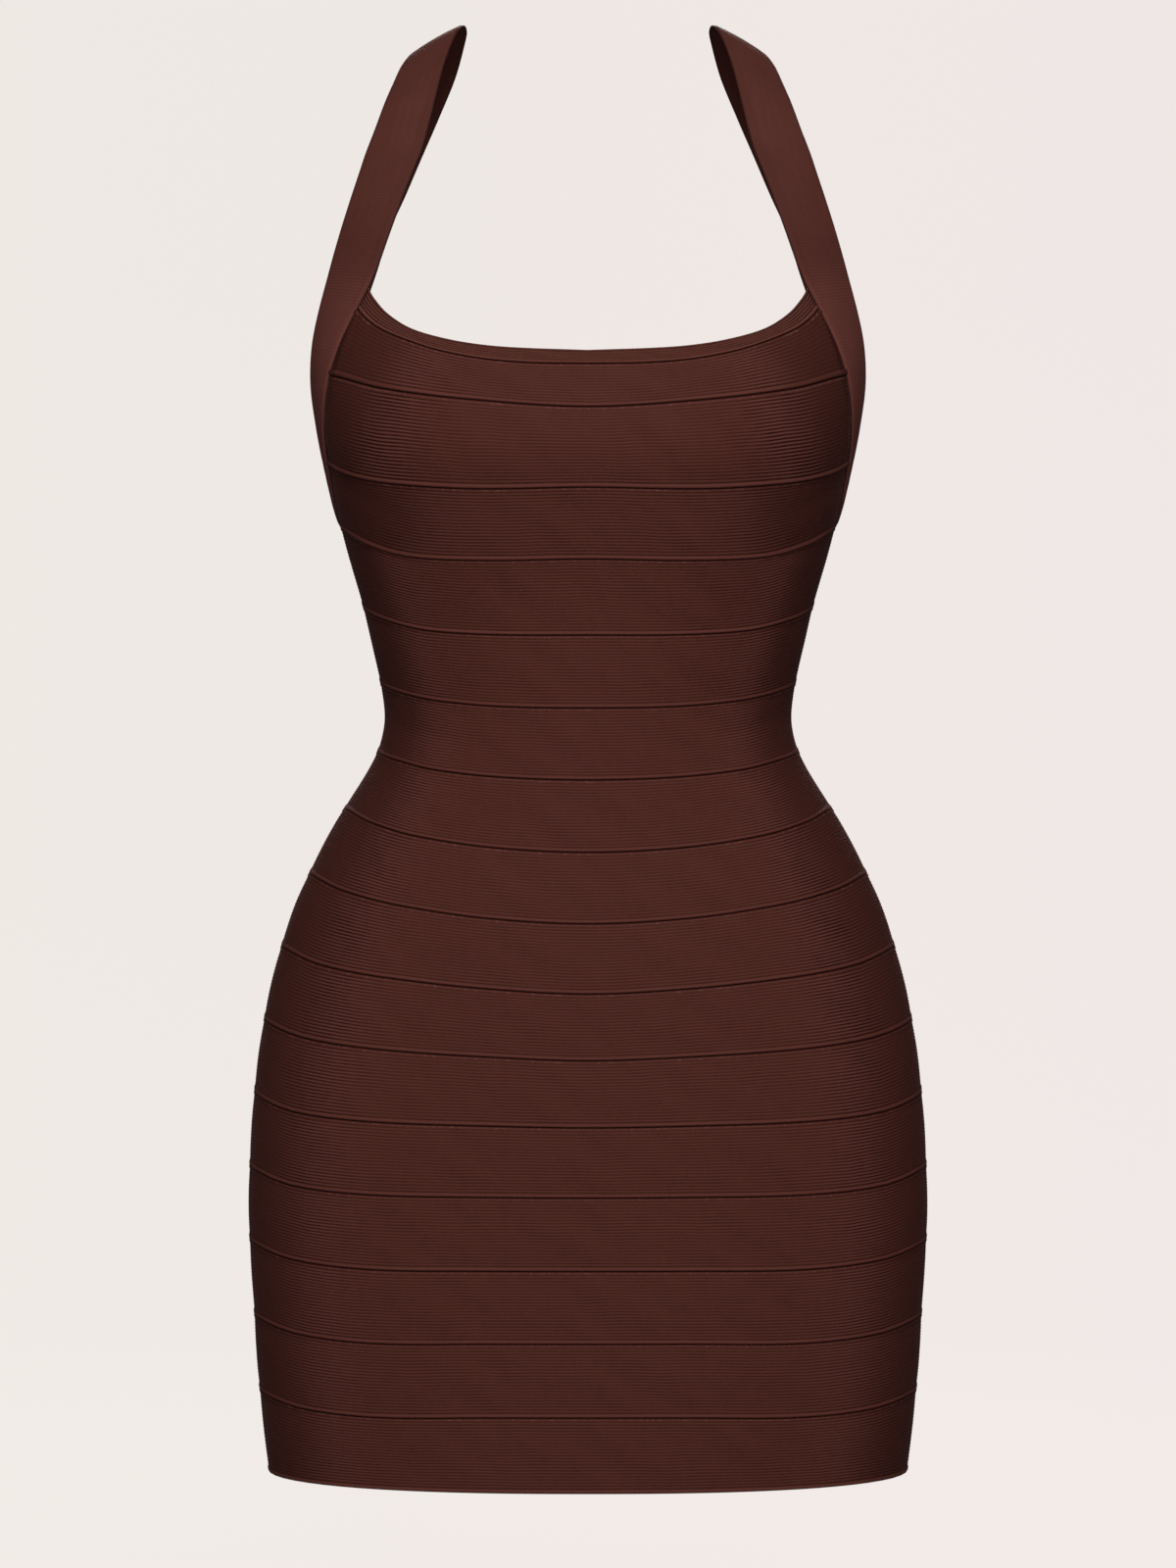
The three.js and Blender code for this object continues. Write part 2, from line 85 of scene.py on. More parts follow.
class Slot(Enum):
    """Material slots of the record."""

    STRIP = "bandage_knit"
    NECK = "neck_knit"
    STRAP = "strap_knit"


@dataclass(frozen=True)
class Table:
    """Rows of named columns, read smoothly between the rows."""

    columns: tuple[str, ...]
    rows: tuple[tuple[float, ...], ...]

    def column(self, name: str) -> np.ndarray:
        """All values of one column."""
        return np.array([row[self.columns.index(name)] for row in self.rows], float)

    def at(self, place: str, value: str, where: np.ndarray | float) -> np.ndarray:
        """Value of a column where another column, which rises from row to row, has a given value.

        Args:
            place: the column that is looked up.
            value: the column that is read.
            where: values in the place column.

        Returns:
            The smooth values between the rows.
        """
        known, values = self.column(place), self.column(value)
        last = len(known) - 1
        before = np.maximum(np.arange(last + 1) - 1, 0)
        after = np.minimum(np.arange(last + 1) + 1, last)
        slope = (values[after] - values[before]) / (known[after] - known[before])
        where = np.asarray(where, float)
        low = np.clip(np.searchsorted(known, where) - 1, 0, last - 1)
        span = known[low + 1] - known[low]
        t = (where - known[low]) / span
        return (
            (2 * t**3 - 3 * t**2 + 1) * values[low]
            + (t**3 - 2 * t**2 + t) * slope[low] * span
            + (3 * t**2 - 2 * t**3) * values[low + 1]
            + (t**3 - t**2) * slope[low + 1] * span
        )


SECTIONS = Table(
    ("height", "half", "front", "back", "square"),
    (
        (0, 175.9, 105, 101, 2.35),
        (52, 181.4, 105, 105, 2.45),
        (96, 184.2, 105, 109, 2.5),
        (139, 186.6, 105, 112, 2.5),
        (182, 185.5, 105, 113, 2.5),
        (225, 181.7, 104, 110, 2.45),
        (268, 174.2, 102, 102, 2.35),
        (312, 160.7, 98, 90, 2.25),
        (355, 139.6, 92, 79, 2.1),
        (387, 119.8, 89, 74, 2.0),
        (409, 112.5, 88, 73, 2.0),
        (430, 114.3, 89, 74, 2.05),
        (474, 124.2, 95, 79, 2.15),
        (517, 136.2, 107, 85, 2.25),
        (549, 144.3, 117, 89, 2.3),
        (571, 149.6, 117, 91, 2.25),
        (600, 154.8, 109, 92, 2.2),
        (636, 157, 93, 91, 2.2),
        (660, 157, 82, 88, 2.2),
    ),
)

STRIP_EDGES = Table(
    ("centre", "inner", "outer", "flank", "rim", "side"),
    (
        (0, 0, 0, 0, 0, 0),
        (40.2, 39.9, 38.6, 40.2, 44.2, 45.5),
        (79.3, 79.1, 78.1, 80.4, 85.3, 86.5),
        (117.9, 117.8, 117.5, 120.2, 125.9, 128),
        (156.8, 157, 157.3, 160, 166.2, 168.5),
        (194, 194.9, 196.2, 199.3, 205.6, 210),
        (229.5, 231.6, 234.8, 239.2, 245.5, 249.3),
        (264.8, 267.7, 273, 278.7, 285.9, 289),
        (302, 304.9, 311.6, 318.8, 325.7, 328.6),
        (339.9, 342.4, 348.5, 355.4, 361.6, 363.5),
        (378.4, 380, 384, 388.7, 392.3, 395.3),
        (416.8, 417.7, 421, 425, 429.2, 433.1),
        (455.6, 456, 458.8, 464.2, 469.8, 475.5),
        (495.7, 495.3, 498, 505.7, 514.3, 518.4),
        (533.2, 532.8, 537, 543, 550.7, 556),
        (575.5, 580, 587.6, 596, 600.5, 603),
    ),
)
EDGE_ANGLES = (0, 30, 52, 66, 78, 90)  # angles of that table's columns from the centre front
FULL_STRIPS = 13  # strips that run from side seam to side seam
UNDERARM_STRIP = 13  # index of the strip whose ends lie under the arm
LIT_BORDER_STRIP = 14  # index of the strip whose upper border gets a painted highlight beside the straps
SEED_STEP = 10  # between the seeds of one strip and the next
SEED_START = 5  # seed of the first strip, less or more 1 for front and back
NECK_SEED = 500  # seed of the neck bands, in the same way
STRENGTH_SEED = 1000  # added to a strip's seed for the draws of its ribs' strengths
SOFT_LIP_LIGHT = 0.26  # painted highlight on the rolled edges beside the centre, below the bust
CLEAR_LIP_LIGHT = 0.5  # and at the bust
# How far each strip's ribs stand out where they stand out most, from the hem up.
RIB_PEAKS = (0.7, 0.75, 0.85, 0.9, 1.0, 1.1, 1.25, 1.3, 1.25, 1.0, 0.8, 0.75, 0.75, 0.7, 1.35, 1.0)

NECK = Table(
    ("share", "edgeAngle", "edgeHeight", "seamAngle", "seamHeight"),
    (
        (0 / 7, 0, 606.3, 0, 598.9),
        (1 / 7, 17, 607.6, 15, 599.4),
        (2 / 7, 28, 609.5, 28, 601.8),
        (3 / 7, 38, 613.3, 39, 606.5),
        (4 / 7, 47.5, 619.6, 47.5, 612.4),
        (5 / 7, 54.5, 628.5, 55.5, 619.6),
        (6 / 7, 59, 637.6, 60.5, 626.5),
        (7 / 7, 61.8, 645, 64.3, 634),
    ),
)

UNDERARM_BAND = Table(
    ("seamHeight", "frontAngle", "backAngle", "edgeHeight", "edgeAngle"),
    (
        (518.7, 90, 90, 541, 90),
        (522, 86.5, 86.5, 542.2, 88),
        (530.5, 82, 82, 547.5, 85.6),
        (543, 79.2, 78.6, 557, 83.6),
        (560, 76.1, 75.4, 570, 82.2),
        (578, 72.7, 72.6, 586, 81.2),
        (597, 69.3, 70.6, 603, 79.3),
        (618, 65.7, 68.4, 623, 76.9),
        (634, 63.3, 66.6, 639, 74.8),
        (645, 61.7, 65.2, 649, 73.8),
    ),
)

SHOULDER_STRAP = Table(
    ("neckX", "neckY", "neckHeight", "armX", "armY", "armHeight"),
    (
        (114.2, -64, 653, 140.6, -43.2, 656),
        (107.6, -66, 671.5, 135.2, -48, 674),
        (99.9, -63, 693, 129, -47, 694),
        (94.3, -59, 708, 124.6, -44, 708),
        (89.7, -54, 720.4, 121.3, -40, 719),
        (85.7, -47, 736.8, 116.5, -34, 733),
        (81.8, -37, 755.6, 111.3, -26, 749),
        (78.4, -26, 771, 107, -17, 761),
        (74, -14, 785.3, 103, -8, 771.5),
        (70.7, -5, 792.9, 99.5, -2, 777),
        (68.5, 5, 795.9, 97.6, 5, 779.3),
        (67.4, 15, 794.4, 97.3, 13, 779),
        (69.2, 27, 788, 99, 23, 774.5),
        (75, 46, 771.5, 106, 38, 761),
        (84.4, 58, 751, 115, 46, 745),
        (94.3, 66, 730, 123, 49, 729),
        (103.7, 70, 709, 130.5, 50, 711),
        (113.4, 68, 687, 136.5, 46.5, 690),
        (120, 64, 664, 140.2, 43, 668),
    ),
)


def eased(value: np.ndarray | float) -> np.ndarray:
    """Smooth step from 0 to 1 as the value goes from 0 to 1."""
    t = np.clip(value, 0.0, 1.0)
    return t * t * (3 - 2 * t)


def unit(vectors: np.ndarray) -> np.ndarray:
    """The same vectors with length 1."""
    return vectors / np.maximum(np.linalg.norm(vectors, axis=-1, keepdims=True), 1e-9)


def mixed(low: np.ndarray, high: np.ndarray, share: np.ndarray) -> np.ndarray:
    """Value at a share of the way from low to high."""
    return low + (high - low) * share


@dataclass(frozen=True)
class Trough:
    """A soft crease in the stretched cloth: a long dip, or a ridge where its depth is below 0."""

    facing: Facing
    angle: float
    height: float
    length: float  # along the body, mm
    width: float  # across the crease, mm
    depth: float
    tilt: float = 0.0  # rise of the far end from the level, degrees
    falloff: float = 1.4  # how fast the dip runs out at its length and width

    def dip(self, angle: np.ndarray, height: np.ndarray, half: np.ndarray) -> np.ndarray:
        """How far the cloth sinks at places on the body.

        Args:
            angle: angles of the places, with their sign.
            height: heights of the places.
            half: half widths of the body at those heights.

        Returns:
            Depths in millimetres.
        """
        away = np.radians(angle - self.angle) * half
        rise = height - self.height
        turn = math.radians(self.tilt)
        along = away * math.cos(turn) + rise * math.sin(turn)
        over = rise * math.cos(turn) - away * math.sin(turn)
        reach = (along / (self.length / 2)) ** 2 + (over / (self.width / 2)) ** 2
        return self.depth * np.exp(-self.falloff * reach)


@dataclass(frozen=True)
class BodyForm:
    """The filled-out form that the stretched cloth follows, from its level sections."""

    sections: Table = SECTIONS
    turn_step: float = 0.5  # degrees either way between the places that give the form's slope
    rise_step: float = 1.0  # and millimetres up and down
    troughs: tuple[Trough, ...] = ()

    def half_width(self, height: np.ndarray | float) -> np.ndarray:
        """Distance from the middle to the side."""
        return self.sections.at("height", "half", height)

    def point(self, angle: np.ndarray, height: np.ndarray, facing: Facing) -> np.ndarray:
        """Places on the form.

        Args:
            angle: angles from the centre front or back, with their sign.
            height: heights above the hem.
            facing: front or back.

        Returns:
            Points with x, y and height.
        """
        half = self.half_width(height)
        depth = self.sections.at("height", "front" if facing is Facing.FRONT else "back", height)
        square = self.sections.at("height", "square", height)
        across, along = np.sin(np.radians(angle)), np.cos(np.radians(angle))
        total = np.abs(across / half) ** square + np.abs(along / depth) ** square
        radius = total ** (-1 / square)
        return np.stack([radius * across, facing.value * radius * along, height + 0 * radius], axis=-1)

    def outward(self, angle: np.ndarray, height: np.ndarray, facing: Facing) -> np.ndarray:
        """Outward direction of the form at the same places, from its slopes there."""
        turn, rise = self.turn_step, self.rise_step
        level = self.point(angle + turn, height, facing) - self.point(angle - turn, height, facing)
        upward = self.point(angle, height + rise, facing) - self.point(angle, height - rise, facing)
        return unit(np.cross(level, upward) * -facing.value)

    def sink(self, angle: np.ndarray, height: np.ndarray, facing: Facing) -> np.ndarray:
        """How far the soft creases sink the cloth at the same places."""
        half = self.half_width(height)
        depth = np.zeros(np.broadcast(angle, height).shape)
        for trough in self.troughs:
            if trough.facing is facing:
                depth = depth + trough.dip(angle, height, half)
        return depth

    def level_angle(self, length: float, height: np.ndarray | float) -> np.ndarray:
        """Angle that a level length takes up near the side."""
        return np.degrees(length / self.half_width(height))


@dataclass(frozen=True)
class SeamLine:
    """A strip's lower edge, from its heights at the edge angles."""

    heights: tuple[float, ...]

    def height(self, angle: np.ndarray | float, facing: Facing) -> np.ndarray:
        """Height of the line at angles on one half of the dress.

        Args:
            angle: angles from the centre, whose sign plays no part.
            facing: front or back, where the line dips less.

        Returns:
            Heights above the hem.
        """
        mirrored = (-EDGE_ANGLES[1], self.heights[1])  # the line is level at the centre
        line = Table(("angle", "height"), (mirrored, *zip(EDGE_ANGLES, self.heights)))
        side = self.heights[-1]
        dip = side - line.at("angle", "height", np.abs(np.asarray(angle, float)))
        return side - dip * (1.0 if facing is Facing.FRONT else BACK_DROP)


@dataclass(frozen=True)
class StrapSeam:
    """The seam that joins the strips and neck bands to a strap, above the underarm."""

    band: Table = UNDERARM_BAND
    tries: int = 12  # rounds to find where a slanted edge meets the seam

    @property
    def foot(self) -> float:
        """Height of the seam where it meets the side seam."""
        return float(self.band.column("seamHeight")[0])

    def angle(self, height: np.ndarray | float, facing: Facing) -> np.ndarray:
        """Angle of the seam at a height."""
        column = "frontAngle" if facing is Facing.FRONT else "backAngle"
        return self.band.at("seamHeight", column, np.maximum(height, self.foot))

    def end_of(self, line: SeamLine, facing: Facing) -> tuple[float, float]:
        """Where a strip's edge ends, at the side seam or at the strap's seam.

        Args:
            line: the edge.
            facing: front or back.

        Returns:
            The angle and the height of its end.
        """
        angle = RIGHT_ANGLE
        for _ in range(self.tries):
            height = float(line.height(angle, facing))
            angle = RIGHT_ANGLE if height <= self.foot else float(self.angle(height, facing))
        return angle, float(line.height(angle, facing))


@dataclass(frozen=True)
class ReliefRows:
    """Rows up a strip: how high each lies, how far it stands proud, and its marks."""

    above: np.ndarray
    rise: np.ndarray
    crown: np.ndarray  # 0 in the groove beside a rib, 1 on its top
    painted_shadow: np.ndarray  # 1 in the painted shadow of the seam
    light: np.ndarray  # painted highlight: 1 on the smooth border along the lower edge
    stitch: np.ndarray  # 1 where the seam's stitches show, which get a painted highlight
    ribbed: np.ndarray  # 1 on the ribs


@dataclass(frozen=True)
class RibRelief:
    """Profile of bandage knit: a rolled lower edge, level ribs and an upper edge sunk in the seam."""

    pitch: float = 1.62
    depth: float = 0.66
    floor: float = -0.5
    lip_height: float = 2.5
    lip_rise: float = 0.85
    top_height: float = 2.2
    under_lip: float = 0.3  # painted shadow in the groove above the rolled edge
    free_top: bool = False
    stitch_light: float = 0.3  # how strong the painted highlight on the border beside the stitches is
    mid_crown: float = 0.5  # of rows that are neither rib nor groove
    lip_profile: tuple[tuple[float, float, float, float], ...] = (
        (0.0, -0.5, 1.0, 0.0),
        (0.1, 0.35, 0.65, 0.0),
        (0.28, 0.95, 0.0, 0.7),
        (0.52, 1.0, 0.0, 1.0),
        (0.8, 0.6, 0.0, 0.7),
    )  # share of the lip's height, share of its rise, painted shadow and painted highlight
    rib_phases: tuple[tuple[float, float], ...] = (
        (0.22, 0.74),
        (0.5, 1.0),
        (0.78, 0.74),
        (1.0, 0.0),
    )  # share of a rib's pitch, and its crown there
    sunk_profile: tuple[tuple[float, float, float, float], ...] = (
        (0.3, 0.16, 0.0, 0.3),
        (0.62, 0.08, 0.05, 1.0),
        (0.88, -0.35, 0.75, 0.2),
        (1.4, -1.1, 1.0, 0.0),
        (2.1, -0.85, 0.6, 0.0),
    )  # share of the top's height, rise in millimetres, painted shadow and stitch
    bound_profile: tuple[tuple[float, float, float, float], ...] = (
        (0.35, 0.4, 0.0, 0.0),
        (0.7, 0.42, 0.0, 0.0),
        (0.93, 0.15, 0.0, 0.0),
        (1.0, -0.35, 0.2, 0.0),
    )  # the same for a free upper edge

    def ribs_in(self, tall: float) -> int:
        """Number of ribs in a strip of that height."""
        return max(2, round((tall - self.lip_height - self.top_height) / self.pitch))

    def rows(self, tall: float) -> ReliefRows:
        """Rows of a strip.

        Args:
            tall: height of the strip at its centre.

        Returns:
            The rows from its lower edge to its upper one.
        """
        found = []  # above, rise, crown, painted shadow, painted highlight, stitch, ribbed
        for share, rise, painted_shadow, light in self.lip_profile:
            above = self.lip_height * share
            found.append((above, self.lip_rise * rise, self.mid_crown, painted_shadow, light, 0, 0))
        found.append((self.lip_height, self.floor, 0.0, self.under_lip, 0.0, 0, 1))
        count = self.ribs_in(tall)
        pitch = (tall - self.lip_height - self.top_height) / count
        for rib in range(count):
            for phase, crown in self.rib_phases:
                above = self.lip_height + (rib + phase) * pitch
                found.append((above, self.floor + self.depth * crown, crown, 0.0, 0.0, 0, 1))
        start = tall - self.top_height
        for share, rise, painted_shadow, stitch in self.bound_profile if self.free_top else self.sunk_profile:
            above, light = start + share * self.top_height, self.stitch_light * stitch
            found.append((above, rise, self.mid_crown, painted_shadow, light, stitch, 0))
        return ReliefRows(*(np.array(values, float)[:, None] for values in zip(*found)))


@dataclass
class ClothPiece:
    """One cut piece of cloth, laid in place as a grid of points with its flat size."""

    name: str
    node: str
    slot: Slot
    points: np.ndarray  # rows, columns, xyz in millimetres above the hem
    plain: np.ndarray  # the same without relief
    flat: np.ndarray  # rows, columns, uv in millimetres
    marks: dict[str, np.ndarray]
    cut: tuple[float, float]
    thickness: float = CLOTH_THICKNESS

    def mesh(self) -> bpy.types.Mesh:
        """Mesh of a flat grid that is then laid on the body, with its flat sizes as its UV map."""
        rows, columns = self.points.shape[:2]
        half = 0.5  # of the flat grid, which is 1 wide and 1 high
        sheet = bmesh.new()
        bmesh.ops.create_grid(sheet, x_segments=columns - 1, y_segments=rows - 1, size=half)
        mesh = bpy.data.meshes.new(self.name)
        sheet.to_mesh(mesh)
        sheet.free()
        place = np.empty(len(mesh.vertices) * 3)
        mesh.vertices.foreach_get("co", place)
        place = place.reshape(-1, 3) + half
        column = np.rint(place[:, 0] * (columns - 1)).astype(int)
        row = np.rint(place[:, 1] * (rows - 1)).astype(int)
        laid = self.points[row, column] - np.array([0.0, 0.0, SHOULDER_REST_HEIGHT])
        mesh.vertices.foreach_set("co", (laid * MILLIMETRE).ravel())
        corners = np.empty(len(mesh.loops), int)
        mesh.loops.foreach_get("vertex_index", corners)
        chart = mesh.uv_layers.new(name="flat_cut")
        spread = self.flat[row[corners], column[corners]] * MILLIMETRE
        chart.data.foreach_set("uv", spread.ravel())
        for label, values in self.marks.items():
            attribute = mesh.attributes.new(label, "FLOAT", "POINT")
            attribute.data.foreach_set("value", values[row, column].astype(np.float32))
        mesh.polygons.foreach_set("use_smooth", np.ones(len(mesh.polygons), bool))
        mesh.update()
        return mesh

    def dress(self, material: bpy.types.Material) -> bpy.types.Object:
        """Args:
            material: the finish of its slot.

        Returns:
            The object.
        """
        piece = bpy.data.objects.new(self.name, self.mesh())
        bpy.context.scene.collection.objects.link(piece)
        piece.data.materials.append(material)
        wall = piece.modifiers.new("cloth_thickness", "SOLIDIFY")
        wall.thickness = self.thickness * MILLIMETRE
        wall.offset = -1.0
        wall.use_rim = True
        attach(piece, BODY)
        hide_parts(self.node)
        return piece


@dataclass(frozen=True)
class Wander:
    """Unevenness of hand-guided knit along a strip: its ribs drift and vary a little."""

    seed: int
    drift: float = 0.11  # of each wave, mm
    lengths: tuple[float, ...] = (27.0, 43.0, 71.0)  # of the waves, mm
    variation: float = 0.25  # share by which the ribs' strength changes
    drift_turn: float = 5.1  # how far the waves shift from the lower line to the upper one, radians
    strength_turn: float = 9.0
    strength_length: float = 0.8  # length of the waves in the ribs' strength, against the drift's

    def drifts(self, along: np.ndarray, up: np.ndarray) -> np.ndarray:
        """How far each rib strays from its line, in millimetres."""
        waves = self.waves(self.seed, along, up, 1.0, self.drift_turn)
        return self.drift * waves * np.sin(math.pi * np.clip(up, 0, 1))

    def strengths(self, along: np.ndarray, up: np.ndarray) -> np.ndarray:
        """Share of the full depth that the ribs have along the strip."""
        seed = self.seed + STRENGTH_SEED
        waves = self.waves(seed, along, up, self.strength_length, self.strength_turn)
        return 1 + self.variation * waves / len(self.lengths)

    def waves(
        self, seed: int, along: np.ndarray, up: np.ndarray, scale: float, turn: float
    ) -> np.ndarray:
        """Sum of waves along the strip, each with a phase drawn from the seed.

        Args:
            seed: seed of the phases.
            along: places along the strip.
            up: shares of the way up it.
            scale: share of their table lengths that the waves have.
            turn: shift from the lower line to the upper one, in radians.

        Returns:
            Sums between minus and plus the number of waves.
        """
        phases = np.random.default_rng(seed).uniform(0, 2 * math.pi, len(self.lengths))
        total = np.zeros(np.broadcast(along, up).shape)
        for length, phase in zip(self.lengths, phases):
            total = total + np.sin(2 * math.pi * along / (scale * length) + phase + turn * up)
        return total


@dataclass(frozen=True)
class BandEnds:
    """How the knit changes towards the ends of a strip, in millimetres from the end."""

    smooth_width: float = 52.0  # the ribs are flattest this near the end
    peak_at: float = 87.0  # they stand out most here, where the body turns to the side
    calm_from: float = 126.0  # and lie stretched flatter from here to the centre
    faded: float = 0.3  # shares of the full rib depth
    middle: float = 0.66
    glint: float = 1.0  # painted highlight on the tops of the ribs round the peak
    glint_width: float = 30.0
    # painted shade towards the end: the cloth darkens where the body turns from the light, and beside
    # the strap that covers the end
    painted_shade_from: float = 108.0
    painted_shade_full: float = 62.0
    painted_shade_clear: float = 24.0
    painted_shade: float = 0.32
    flat_lip: float = 0.0  # share of its rise that the rolled edge keeps at the very end
    flat_width: float = 75.0
    sink_depth: float = 0.0  # how far the cloth dips towards its end
    sink_width: float = 12.0
    turn_width: float = 1.6  # over which the very edge turns in
    turn_depth: float = 0.7  # below 0 where the end rises against the strap that covers it
    overlap: float = 0.0  # how far the cloth runs on under the strap
    line_width: float = 1.3
    line_mark: float = 0.9  # strength of the painted shadow along the seam's own line

    def rib_strength(self, to_end: np.ndarray, peak: float) -> np.ndarray:
        """Share of the full rib depth at a distance from the end, with its value at the peak."""
        rising = eased((to_end - self.smooth_width) / (self.peak_at - self.smooth_width))
        settling = eased((to_end - self.peak_at) / (self.calm_from - self.peak_at))
        return mixed(mixed(self.faded, peak, rising), self.middle, settling)

    def rib_light(self, to_end: np.ndarray) -> np.ndarray:
        """Painted highlight on the tops of the ribs at a distance from the end."""
        return self.glint * np.exp(-(((to_end - self.peak_at) / self.glint_width) ** 2))

    def lip_rise(self, to_end: np.ndarray) -> np.ndarray:
        """Share of its rise that the rolled edge has at a distance from the end."""
        return mixed(self.flat_lip, 1.0, eased(to_end / self.flat_width))

    def sink(self, to_end: np.ndarray) -> np.ndarray:
        """How far the cloth dips at a distance from the end."""
        turned = self.turn_depth * (1 - eased(to_end / self.turn_width))
        return turned + self.sink_depth * (1 - eased(to_end / self.sink_width))

    def line(self, to_end: np.ndarray) -> np.ndarray:
        """Painted shadow along the seam's own line at a distance from the end."""
        return self.line_mark * (1 - eased((to_end - self.overlap) / self.line_width))

    def shade(self, to_end: np.ndarray) -> np.ndarray:
        """How much painted shade darkens the cloth at a distance from the end."""
        grown = eased((self.painted_shade_from - to_end) / (self.painted_shade_from - self.painted_shade_full))
        cleared = eased(to_end / self.painted_shade_clear) if self.painted_shade_clear > 0 else 1.0
        return self.painted_shade * grown * cleared


SIDE_SEAM_ENDS = BandEnds(line_mark=0.6, turn_depth=0.5)
UNDERARM_ENDS = BandEnds(
    flat_lip=0.2,
    sink_depth=0.8,
    turn_depth=-1.0,
    overlap=2.4,
    painted_shade=0.4,
    painted_shade_from=126.0,
    painted_shade_full=66.0,
)
STRAP_ENDS = BandEnds(
    smooth_width=24.0,
    peak_at=58.0,
    calm_from=104.0,
    glint_width=26.0,
    painted_shade=0.4,
    painted_shade_from=72.0,
    painted_shade_full=26.0,
    painted_shade_clear=0.0,
    flat_lip=0.45,
    flat_width=10.0,
    sink_depth=1.1,
    turn_depth=-1.3,
    overlap=2.4,
)
NECK_ENDS = BandEnds(
    smooth_width=0.0,
    peak_at=22.0,
    calm_from=90.0,
    faded=0.9,
    middle=0.8,
    glint=0.8,
    glint_width=40.0,
    painted_shade=0.12,
    painted_shade_from=60.0,
    painted_shade_full=20.0,
    painted_shade_clear=0.0,
    flat_lip=1.0,
    sink_depth=1.1,
    turn_depth=-0.8,
    overlap=2.4,
)


@dataclass
class Band:
    """A piece that lies on the body between two lines, such as a strip or a neck band."""

    form: BodyForm
    strap_seam: StrapSeam
    facing: Facing
    name: str
    slot: Slot
    relief: RibRelief
    wander: Wander
    columns: int = 48
    bulge: float = 0.35  # how far the middle of its height stands out, mm
    rib_peak: float = 1.0  # how far its ribs stand out where they stand out most
    lip_light: float = 0.2  # painted highlight on the rolled edge at the centre
    lip_light_aside: float = CLEAR_LIP_LIGHT  # and from the angle where it has grown
    lit_angle: float = 60.0  # that angle
    lip_shade: float = 0.4  # share of the painted shade that the rolled edge keeps

    @property
    def ends(self) -> BandEnds:
        """How its ends are finished."""
        return STRAP_ENDS

    def lower(self, share: np.ndarray) -> tuple[np.ndarray, np.ndarray]:
        """Angle and height of the lower line at shares from 0 at the centre to 1 at the end."""
        raise NotImplementedError

    def upper(self, share: np.ndarray) -> tuple[np.ndarray, np.ndarray]:
        """Angle and height of the upper line, in the same way."""
        raise NotImplementedError

    def end_angle(self, height: np.ndarray) -> np.ndarray:
        """Angle at which the piece ends, at a height."""
        past = self.form.level_angle(self.ends.overlap, height)
        return self.strap_seam.angle(height, self.facing) + past

    def places(self, across: np.ndarray, up: np.ndarray) -> tuple[np.ndarray, np.ndarray]:
        """Angles and heights of a grid.

        Args:
            across: shares from -1 to 1 across the piece, one for each column.
            up: shares from 0 at the lower line to 1 at the upper one, for each row and column.

        Returns:
            Angles and heights, for each row and column.
        """
        share = np.abs(across)
        low_angle, low_height = self.lower(share)
        high_angle, high_height = self.upper(share)
        one = np.array([1.0])
        (end_low_angle, end_low), (end_high_angle, end_high) = self.lower(one), self.upper(one)
        end_height = mixed(end_low[0], end_high[0], up)
        plain_end = mixed(end_low_angle[0], end_high_angle[0], up)
        stretch = self.end_angle(end_height) / plain_end
        angle = mixed(low_angle, high_angle, up) * stretch
        return np.sign(across) * angle, mixed(low_height, high_height, up)

    def end_scale(self, height: np.ndarray) -> np.ndarray:
        """How wide the changes towards its ends are, against their sizes in the table."""
        return 1.0 + 0 * height

    def light(
        self, rows: ReliefRows, to_end: np.ndarray, angle: np.ndarray, strength: np.ndarray
    ) -> np.ndarray:
        """Mark of painted highlight: the rolled edge, and the tops of the ribs that turn to the side.

        Args:
            rows: rows of the piece.
            to_end: distances from the nearer end.
            angle: angles from the centre.
            strength: share of the full rib depth.

        Returns:
            Shares from 0 to 1.
        """
        aside = eased(np.abs(angle) / self.lit_angle)
        lip = rows.light * mixed(self.lip_light, self.lip_light_aside, aside)
        tops = np.clip(2 * rows.crown - 1, 0, 1) * rows.ribbed
        return np.clip(np.maximum(lip, tops * self.ends.rib_light(to_end) * strength), 0, 1)

    def piece(self) -> ClothPiece:
        """The piece laid on the body, with its relief and marks."""
        across = -self.facing.value * np.linspace(-1, 1, self.columns + 1)
        share = np.abs(across)
        tall = self.upper(share)[1] - self.lower(share)[1]
        middle_tall = float(tall[len(tall) // 2])
        rows = self.relief.rows(middle_tall)
        even = rows.above / middle_tall + 0 * across[None, :]
        angle, height = self.places(across, even)
        worn = self.form.point(angle, height, self.facing)
        steps = np.linalg.norm(np.diff(worn, axis=1), axis=-1)
        length = np.concatenate([np.zeros((len(steps), 1)), np.cumsum(steps, axis=1)], axis=1)
        middle = length[:, -1:] / 2
        along = length - middle
        to_end = middle - np.abs(along)

        drift = self.wander.drifts(along, even) / tall[None, :]
        angle, height = self.places(across, even + drift)
        ends = self.ends
        from_end = to_end / self.end_scale(height)
        strength = self.wander.strengths(along, even) * ends.rib_strength(from_end, self.rib_peak)
        ribs = rows.ribbed * rows.crown * self.relief.depth
        rise = rows.rise - ribs + ribs * strength + self.bulge * np.sin(math.pi * np.clip(even, 0, 1))
        rise = rise - rows.rise * (1 - rows.ribbed) * (1 - ends.lip_rise(to_end))
        rise = rise - ends.sink(to_end) - self.form.sink(angle, height, self.facing)
        plain = self.form.point(angle, height, self.facing)
        points = plain + self.form.outward(angle, height, self.facing) * rise[..., None]

        # painted shade towards the ends, mostly kept off the rolled edge
        shade = ends.shade(from_end) / self.end_scale(height)
        shade = shade * (1 - (1 - self.lip_shade) * rows.light)
